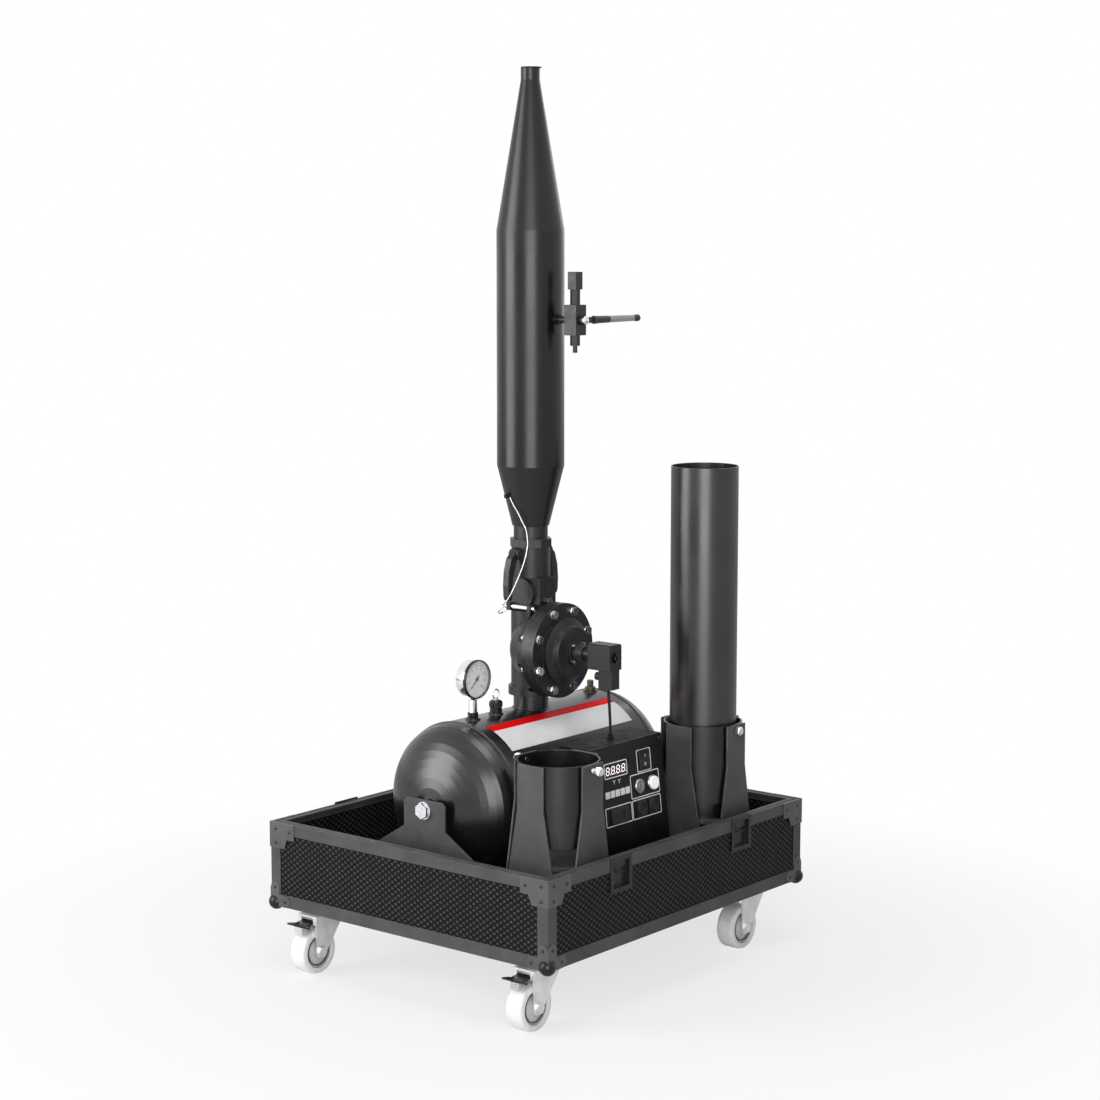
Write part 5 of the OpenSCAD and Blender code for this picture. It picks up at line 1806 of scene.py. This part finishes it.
    def digits(self) -> None:
        """Makes four lit digits with all segments on, each with its point, leaning a little."""
        width, half, bar = self.digit_width, self.digit_half, self.digit_bar
        shapes = []
        for k in range(4):
            middle = np.array([(k - 1.5) * self.digit_step, 0.0])
            for across, up, flat in SEGMENTS.values():
                length = width - 1.3 * bar if flat else half - 0.9 * bar
                size = (length, bar) if flat else (bar, length)
                outline = rounded(*size, 0.42 * bar, 3) + middle + np.array([across * width, up * half])
                outline[:, 0] += self.digit_lean * outline[:, 1]
                shapes.append(plateau(outline, self.digit_height))
            dot = circle(0.55 * bar, 12) + middle + np.array([0.86 * width, -half])
            shapes.append(plateau(dot, self.digit_height))
        place = self.at(self.display, -self.digit_sunk)
        lit = [shape.moved(place) for shape in shapes]
        self.put("display_digits", lit, self.palette.digits, "case", "display_red")

    def printed(self) -> None:
        """Makes the printed frames and the two forked marks above the keys."""
        line, corner = self.frame_line, self.frame_corner
        shapes = []
        for x, z, width, height in self.frames:
            outer = rounded(width, height, corner)
            inner = rounded(width - 2 * line, height - 2 * line, corner - line)
            shapes.append(collar(outer, inner, 0.18 * MM).moved(self.at((x, z), -0.04 * MM)))
        stroke = rounded(1.3 * MM, 0.2 * MM, 0.08 * MM, 2)
        fork = np.array([(-3.4, 3.4, 0), (0, -0.2, 0), (3.4, 3.4, 0)]) * MM
        stem = np.array([(0, 0.2, 0), (0, -3.6, 0)]) * MM
        for place in self.forks:
            for path in (fork, stem):
                shapes.append(sweep(path, stroke, (0, 0, 1)).moved(self.at(place, 0.06 * MM)))
        self.put("panel_print", shapes, self.palette.print_white, "case", "white_plastic")

    def keys(self) -> None:
        """Makes the five keys of the keypad, low blocks with round corners."""
        x, z = self.keypad
        block = plateau(rounded(*self.key_block), 0.9 * MM, 0.3 * MM, -0.1 * MM)
        keys = [block.moved(self.at((x + self.key_step * k, z))) for k in range(-2, 3)]
        self.put("keypad_keys", keys, self.palette.white, "case", "white_plastic")

    def turned_rings(self) -> None:
        """Makes the turned rings round the key switch and the push button."""
        shapes = []
        for place, (inner, outer) in ((self.key, self.key_ring), (self.button, self.button_ring)):
            rim = ((outer, 2.2), (outer - 1.2, 3.6), (inner + 1.4, 4), (inner, 3.4))
            ring = revolve(in_metres(((inner, 0), (outer, 0)) + rim), 64, loop=True)
            shapes.append(ring.moved(self.at(place)))
        self.put("switch_rings", shapes, self.palette.key, "case", "key_steel")

    def rocker_bezel(self) -> list[Shape]:
        """Makes the frame round the rocker switch.

        Returns:
            Its shapes, in place.
        """
        hole = rounded(*self.rocker_hole)
        bezel = collar(rounded(*self.rocker_frame), hole, 2.0 * MM)
        lip = collar(rounded(*self.rocker_lip), hole, 0.6 * MM, 1.9 * MM)
        return [shape.moved(self.at(self.rocker)) for shape in (bezel, lip)]

    def power_inlet(self) -> list[Shape]:
        """Makes the power inlet, with three blades on its floor.

        Returns:
            Its shapes, in place.
        """
        frame = collar(rounded(*self.inlet_frame), rounded(*self.inlet_hole), 3.0 * MM)
        shapes = [frame, plateau(rounded(*self.inlet_floor), 0.8 * MM)]
        shapes += [plateau(rounded(*self.blade, 2) + np.array(middle), 2.5 * MM) for middle in self.blades]
        return [shape.moved(self.at(self.inlet)) for shape in shapes]

    def round_socket(self, place: Pair) -> list[Shape]:
        """Makes a round socket on a square plate, with three pins on its floor.

        Args:
            place: Its middle.

        Returns:
            Its shapes, in place. The hole's points are turned by an eighth to match the plate's.
        """
        eighth = np.array([[0.7071, 0.7071], [-0.7071, 0.7071]])
        hole = circle(self.socket_hole, 32) @ eighth
        shapes = [
            collar(rounded(*self.socket_plate, 8), hole, 2.0 * MM),
            revolve(in_metres(self.socket_rim), 48, loop=True),
            revolve(in_metres(self.socket_floor), 40),
        ]
        shapes += [plateau(circle(self.pin_radius, 12) + np.array(pin), 2.2 * MM) for pin in self.pins]
        return [shape.moved(self.at(place)) for shape in shapes]

    def black_fittings(self) -> None:
        """Makes the rocker's bezel, the power inlet and the round sockets, in place of the plain ones."""
        shapes = self.rocker_bezel() + self.power_inlet()
        for place in self.sockets:
            shapes += self.round_socket(place)
        piece = self.put("panel_mouldings", shapes, self.palette.moulded, "case", "fitting_plastic")
        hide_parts("panel_fittings")

    def switch_marks(self) -> None:
        """Makes the two plain marks on the rocker: a bar at its top and a ring at its foot."""
        bar = plateau(rounded(1.2 * MM, 5.2 * MM, 0.4 * MM, 2), 0.2 * MM)
        ring = collar(circle(2.6 * MM, 24), circle(1.6 * MM, 24), 0.2 * MM)
        x, z = self.rocker
        marks = []
        for shape, side, lift, lean in zip((bar, ring), (1, -1), self.mark_lifts, self.mark_leans):
            turn = Matrix.Rotation(math.radians(lean), 4, "X")
            marks.append(shape.moved(self.at((x, z + side * self.mark_gap), lift) @ turn))
        self.put("rocker_marks", marks, self.palette.print_white, "rocker_switch", "white_plastic")

    def button_cap(self) -> None:
        """Makes the lit cap of the push button, with a softly domed face and a ring round its middle."""
        cap = revolve(in_metres(self.cap), 64).moved(self.at(self.button))
        piece = make_piece("button_cap", cap, self.palette.button, "push_button", "white_plastic", 40)
        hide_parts("push_button")

    def panel_screws(self) -> None:
        """Makes the panel's four round-headed screws, each with a round recess."""
        screw = revolve(in_metres(self.screw), 24)
        screws = [screw.moved(self.at(place)) for place in self.screws]
        self.put("panel_screws", screws, self.palette.case_steel, "case", "case_steel")

    def build(self, joints: list[dict]) -> None:
        """Makes everything on the panel.

        Args:
            joints: The frame's joints.
        """
        self.read_lean(joints)
        self.digits()
        self.printed()
        self.black_fittings()
        self.keys()
        self.turned_rings()
        self.switch_marks()
        self.button_cap()
        self.panel_screws()


# Cords

@dataclass
class Cords:
    """The solenoid's cable and the pull pin's steel lanyard, on the routes of the construction model.

    Attributes:
        cable_route: Points from the plug's gland down to the gland on the control box.
        cable_radius: Radius of the cable.
        cable_length: Length of the cable's free stretch; not used.
        lanyard_route: Points from the canister's lug to the pull pin's ring.
        lanyard_radius: Radius of the wire rope.
        lanyard_length: Length of the wire rope; not used.
        strands: Strands that show round the rope.
        lay: Length in which a strand goes once round.
    """

    palette: Palette
    cable_route: tuple[Point, ...] = (
        (0, -0.151, 0.5018), (0, -0.151, 0.494), (-0.001, -0.153, 0.480), (-0.003, -0.156, 0.462),
        (-0.004, -0.158, 0.444), (-0.005, -0.159, 0.433), (-0.005, -0.159, 0.4252),
    )
    cable_radius: float = 2.5 * MM
    cable_length: float = 0.0772
    lanyard_route: tuple[Point, ...] = (
        (-0.047, 0.031, 0.826), (-0.046, 0.024, 0.813), (-0.044, 0.015, 0.799), (-0.042, 0.008, 0.785),
        (-0.039, 0.002, 0.772), (-0.038, 0.000, 0.760), (-0.039, -0.002, 0.745), (-0.043, -0.002, 0.728),
        (-0.050, -0.001, 0.710), (-0.060, 0.002, 0.688), (-0.070, 0.008, 0.664), (-0.074, 0.016, 0.649),
        (-0.071, 0.027, 0.641), (-0.060, 0.039, 0.637), (-0.048, 0.047, 0.635), (-0.0394, 0.050, 0.634),
    )
    lanyard_radius: float = 1.0 * MM
    lanyard_length: float = 0.262
    strands: int = 6
    lay: float = 0.009

    def cable(self) -> None:
        """Makes the cable, which runs between the tank and the case."""
        path = smooth_route(list(self.cable_route), 8)
        tube = sweep(path, circle(self.cable_radius, 16), (1, 0, 0))
        piece = make_piece("solenoid_cable", tube, self.palette.rubber, None, "black_rubber", 60)
        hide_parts("coil_cable")
        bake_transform(piece)

    def lanyard(self) -> None:
        """Makes the wire rope: the tube's radius swells on each strand, and the strands turn with the lay."""
        path = smooth_route(list(self.lanyard_route), 24)
        travel = np.concatenate([[0], np.cumsum(np.linalg.norm(np.diff(path, axis=0), axis=1))])
        angle = np.linspace(0, 2 * np.pi, 24, endpoint=False)
        turn = angle[None, :] - 2 * np.pi * travel[:, None] / self.lay
        radius = self.lanyard_radius * (0.9 + 0.1 * np.cos(self.strands * turn))
        section = np.stack([radius * np.cos(angle), radius * np.sin(angle)], -1)
        rope = sweep(path, section, (1, -1, 0.3))
        piece = make_piece("pin_lanyard", rope, self.palette.rope, None, "wire_rope", 80)
        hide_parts("lanyard")
        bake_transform(piece)

    def build(self) -> None:
        """Makes both cords."""
        self.cable()
        self.lanyard()


# Studio

def facing(
    data: bpy.types.ID, target: Point, azimuth: float, elevation: float, distance: float
) -> bpy.types.Object:
    """Stands a camera or a lamp in the studio and turns it to a point.

    Args:
        data: The camera or the lamp.
        target: Point that it faces.
        azimuth: Direction of its place in degrees, 0 being the front and positive to the right.
        elevation: Angle of its place above the horizon.
        distance: Distance of its place from the point.

    Returns:
        Its object.
    """
    a, e = math.radians(azimuth), math.radians(elevation)
    back = Vector((math.sin(a) * math.cos(e), -math.cos(a) * math.cos(e), math.sin(e)))
    holder = bpy.data.objects.new(data.name, data)
    holder.location = Vector(target) + back * distance
    holder.rotation_euler = (-back).to_track_quat("-Z", "Y").to_euler()
    bpy.context.scene.collection.objects.link(holder)
    return holder


def seen(nodes: bpy.types.Nodes, links: bpy.types.NodeLinks, mirrored: float = 1.0) -> Socket:
    """Share in which rays show the plain white background.

    Args:
        nodes: Nodes of the material or the world.
        links: Their links.
        mirrored: Share for glossy and transmission rays, camera rays having 1.

    Returns:
        The share.
    """
    path = nodes.new("ShaderNodeLightPath")
    total = path.outputs["Is Camera Ray"]
    for name in ("Is Glossy Ray", "Is Transmission Ray"):
        part = nodes.new("ShaderNodeMath")
        part.operation = "MULTIPLY_ADD"
        part.use_clamp = True
        links.new(path.outputs[name], part.inputs[0])
        part.inputs[1].default_value = mirrored
        links.new(total, part.inputs[2])
        total = part.outputs[0]
    return total


@dataclass(frozen=True)
class Lamp:
    """A soft rectangular lamp that faces the object.

    Attributes:
        name: Its name.
        azimuth: Its direction in degrees, 0 being the front and positive to the right.
        elevation: Its angle above the horizon.
        distance: Its distance from the point that the lamps face.
        size: Its width and height.
        watts: Its power.
    """

    name: str
    azimuth: float
    elevation: float
    distance: float
    size: Pair
    watts: float


@dataclass
class Studio:
    """Camera, lamps, floor and backdrop.

    Attributes:
        target: Point that the camera looks at.
        distance: Distance of the camera from it.
        azimuth: Direction of the camera in degrees, 0 being the front and positive to the right.
        elevation: Angle above the horizon.
        sensor: Width of its sensor in millimetres.
        lens: Its focal length in millimetres.
        lamps: A wide front lamp, one from each side and one above.
        aim: Point that the lamps face.
        ambient: Light of the surroundings on the object.
        floor_radius: Radius of the floor.
        floor_colour: Colour of the floor where it is lit.
        floor_mirrored: Share of plain white that mirrors show of it.
        shadow_reach: Distances from the origin between which the floor's shadow fades out.
        shadow_glow: Shares of plain white at those distances.
    """

    target: Point = (0.01008, -0.01238, 0.73131)
    distance: float = 4.2536
    azimuth: float = -50.85
    elevation: float = 7.62
    sensor: float = 36
    lens: float = 79.383
    lamps: tuple[Lamp, ...] = (
        Lamp("front", -50, 8, 3.8, (2.0, 2.4), 84),
        Lamp("left", -124, 12, 3.2, (1.8, 2.1), 74),
        Lamp("right", 95, 22, 3.2, (0.4, 2.2), 6),
        Lamp("top", -30, 72, 3.0, (1.8, 1.8), 38),
    )
    aim: Point = (0, 0, 0.75)
    ambient: float = 0.1
    floor_radius: float = 12.0
    floor_colour: Colour = (0.85, 0.85, 0.85)
    floor_mirrored: float = 0.35
    shadow_reach: Pair = (0.42, 1.3)
    shadow_glow: Pair = (0.72, 1.0)

    def camera(self) -> None:
        """Makes the camera of the photograph."""
        data = bpy.data.cameras.new("camera")
        data.lens = self.lens
        data.sensor_width = self.sensor
        data.clip_end = 100
        eye = facing(data, self.target, self.azimuth, self.elevation, self.distance)
        bpy.context.scene.camera = eye

    def lights(self) -> None:
        """Makes the lamps."""
        for lamp in self.lamps:
            data = bpy.data.lights.new(lamp.name, "AREA")
            data.shape = "RECTANGLE"
            data.size, data.size_y = lamp.size
            data.energy = lamp.watts
            facing(data, self.aim, lamp.azimuth, lamp.elevation, lamp.distance)

    def world(self) -> None:
        """Makes the pale surroundings."""
        world = bpy.data.worlds.new("studio")
        world.use_nodes = True
        bpy.context.scene.world = world
        nodes, links = world.node_tree.nodes, world.node_tree.links
        ambient = nodes["Background"]
        ambient.inputs["Color"].default_value = (1, 1, 1, 1)
        ambient.inputs["Strength"].default_value = self.ambient
        shown = nodes.new("ShaderNodeBackground")
        shown.inputs["Color"].default_value = (1, 1, 1, 1)
        shown.inputs["Strength"].default_value = 1.0
        mix = nodes.new("ShaderNodeMixShader")
        links.new(seen(nodes, links), mix.inputs[0])
        links.new(ambient.outputs[0], mix.inputs[1])
        links.new(shown.outputs[0], mix.inputs[2])
        links.new(mix.outputs[0], nodes["World Output"].inputs["Surface"])

    def floor(self) -> None:
        """Makes the pale floor, which keeps the object's shadow near it and is plain white farther off."""
        mesh = bpy.data.meshes.new("floor")
        points = np.concatenate([circle(self.floor_radius, 64), np.zeros((64, 1))], 1)
        mesh.from_pydata(points.tolist(), [], [list(range(64))])
        floor = bpy.data.objects.new("floor", mesh)
        bpy.context.scene.collection.objects.link(floor)
        tree = Tree("floor")
        shader = tree.shader
        tree.feed(shader.inputs["Base Color"], (*self.floor_colour, 1))
        shader.inputs["Roughness"].default_value = 0.9
        shader.inputs["Specular IOR Level"].default_value = 0.1
        reach = tree.add("ShaderNodeVectorMath", operation="LENGTH")
        tree.feed(reach.inputs[0], tree.place)
        share = tree.levels(reach.outputs["Value"], *self.shadow_reach, *self.shadow_glow)
        glow = tree.add("ShaderNodeEmission")
        glow.inputs["Strength"].default_value = 1.0
        mix = tree.add("ShaderNodeMixShader")
        white = seen(tree.nodes, tree.links, self.floor_mirrored)
        tree.feed(mix.inputs[0], tree.math("MULTIPLY", white, share))
        tree.feed(mix.inputs[1], shader.outputs[0])
        tree.feed(mix.inputs[2], glow.outputs[0])
        tree.feed(tree.nodes["Material Output"].inputs["Surface"], mix.outputs[0])
        mesh.materials.append(tree.material)

    def build(self) -> None:
        """Makes the whole studio."""
        bpy.context.scene.view_settings.view_transform = "Standard"
        self.camera()
        self.lights()
        self.world()
        self.floor()


def main() -> None:
    """Builds the looks in order and reports each group of pieces."""
    logging.basicConfig(level=logging.INFO, format="%(message)s")
    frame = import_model()
    Studio().build()
    palette = Palette()
    Cords(palette).build()
    log.info("cords made")
    dress_frame(frame, palette)
    log.info("frame dressed: %d nodes", len(frame["nodes"]))
    CaseTrim(palette).build()
    log.info("case trim made")
    TankTrim(palette).build()
    log.info("tank trim made")
    Gauge(palette).build()
    log.info("gauge made")
    ValveTrim(palette).build(frame["joints"])
    log.info("valve trim made")
    ThumbScrews(palette).build()
    log.info("thumb screws made")
    ControlFace(palette).build(frame["joints"])
    log.info("control face made")


if __name__ == "__main__":
    main()
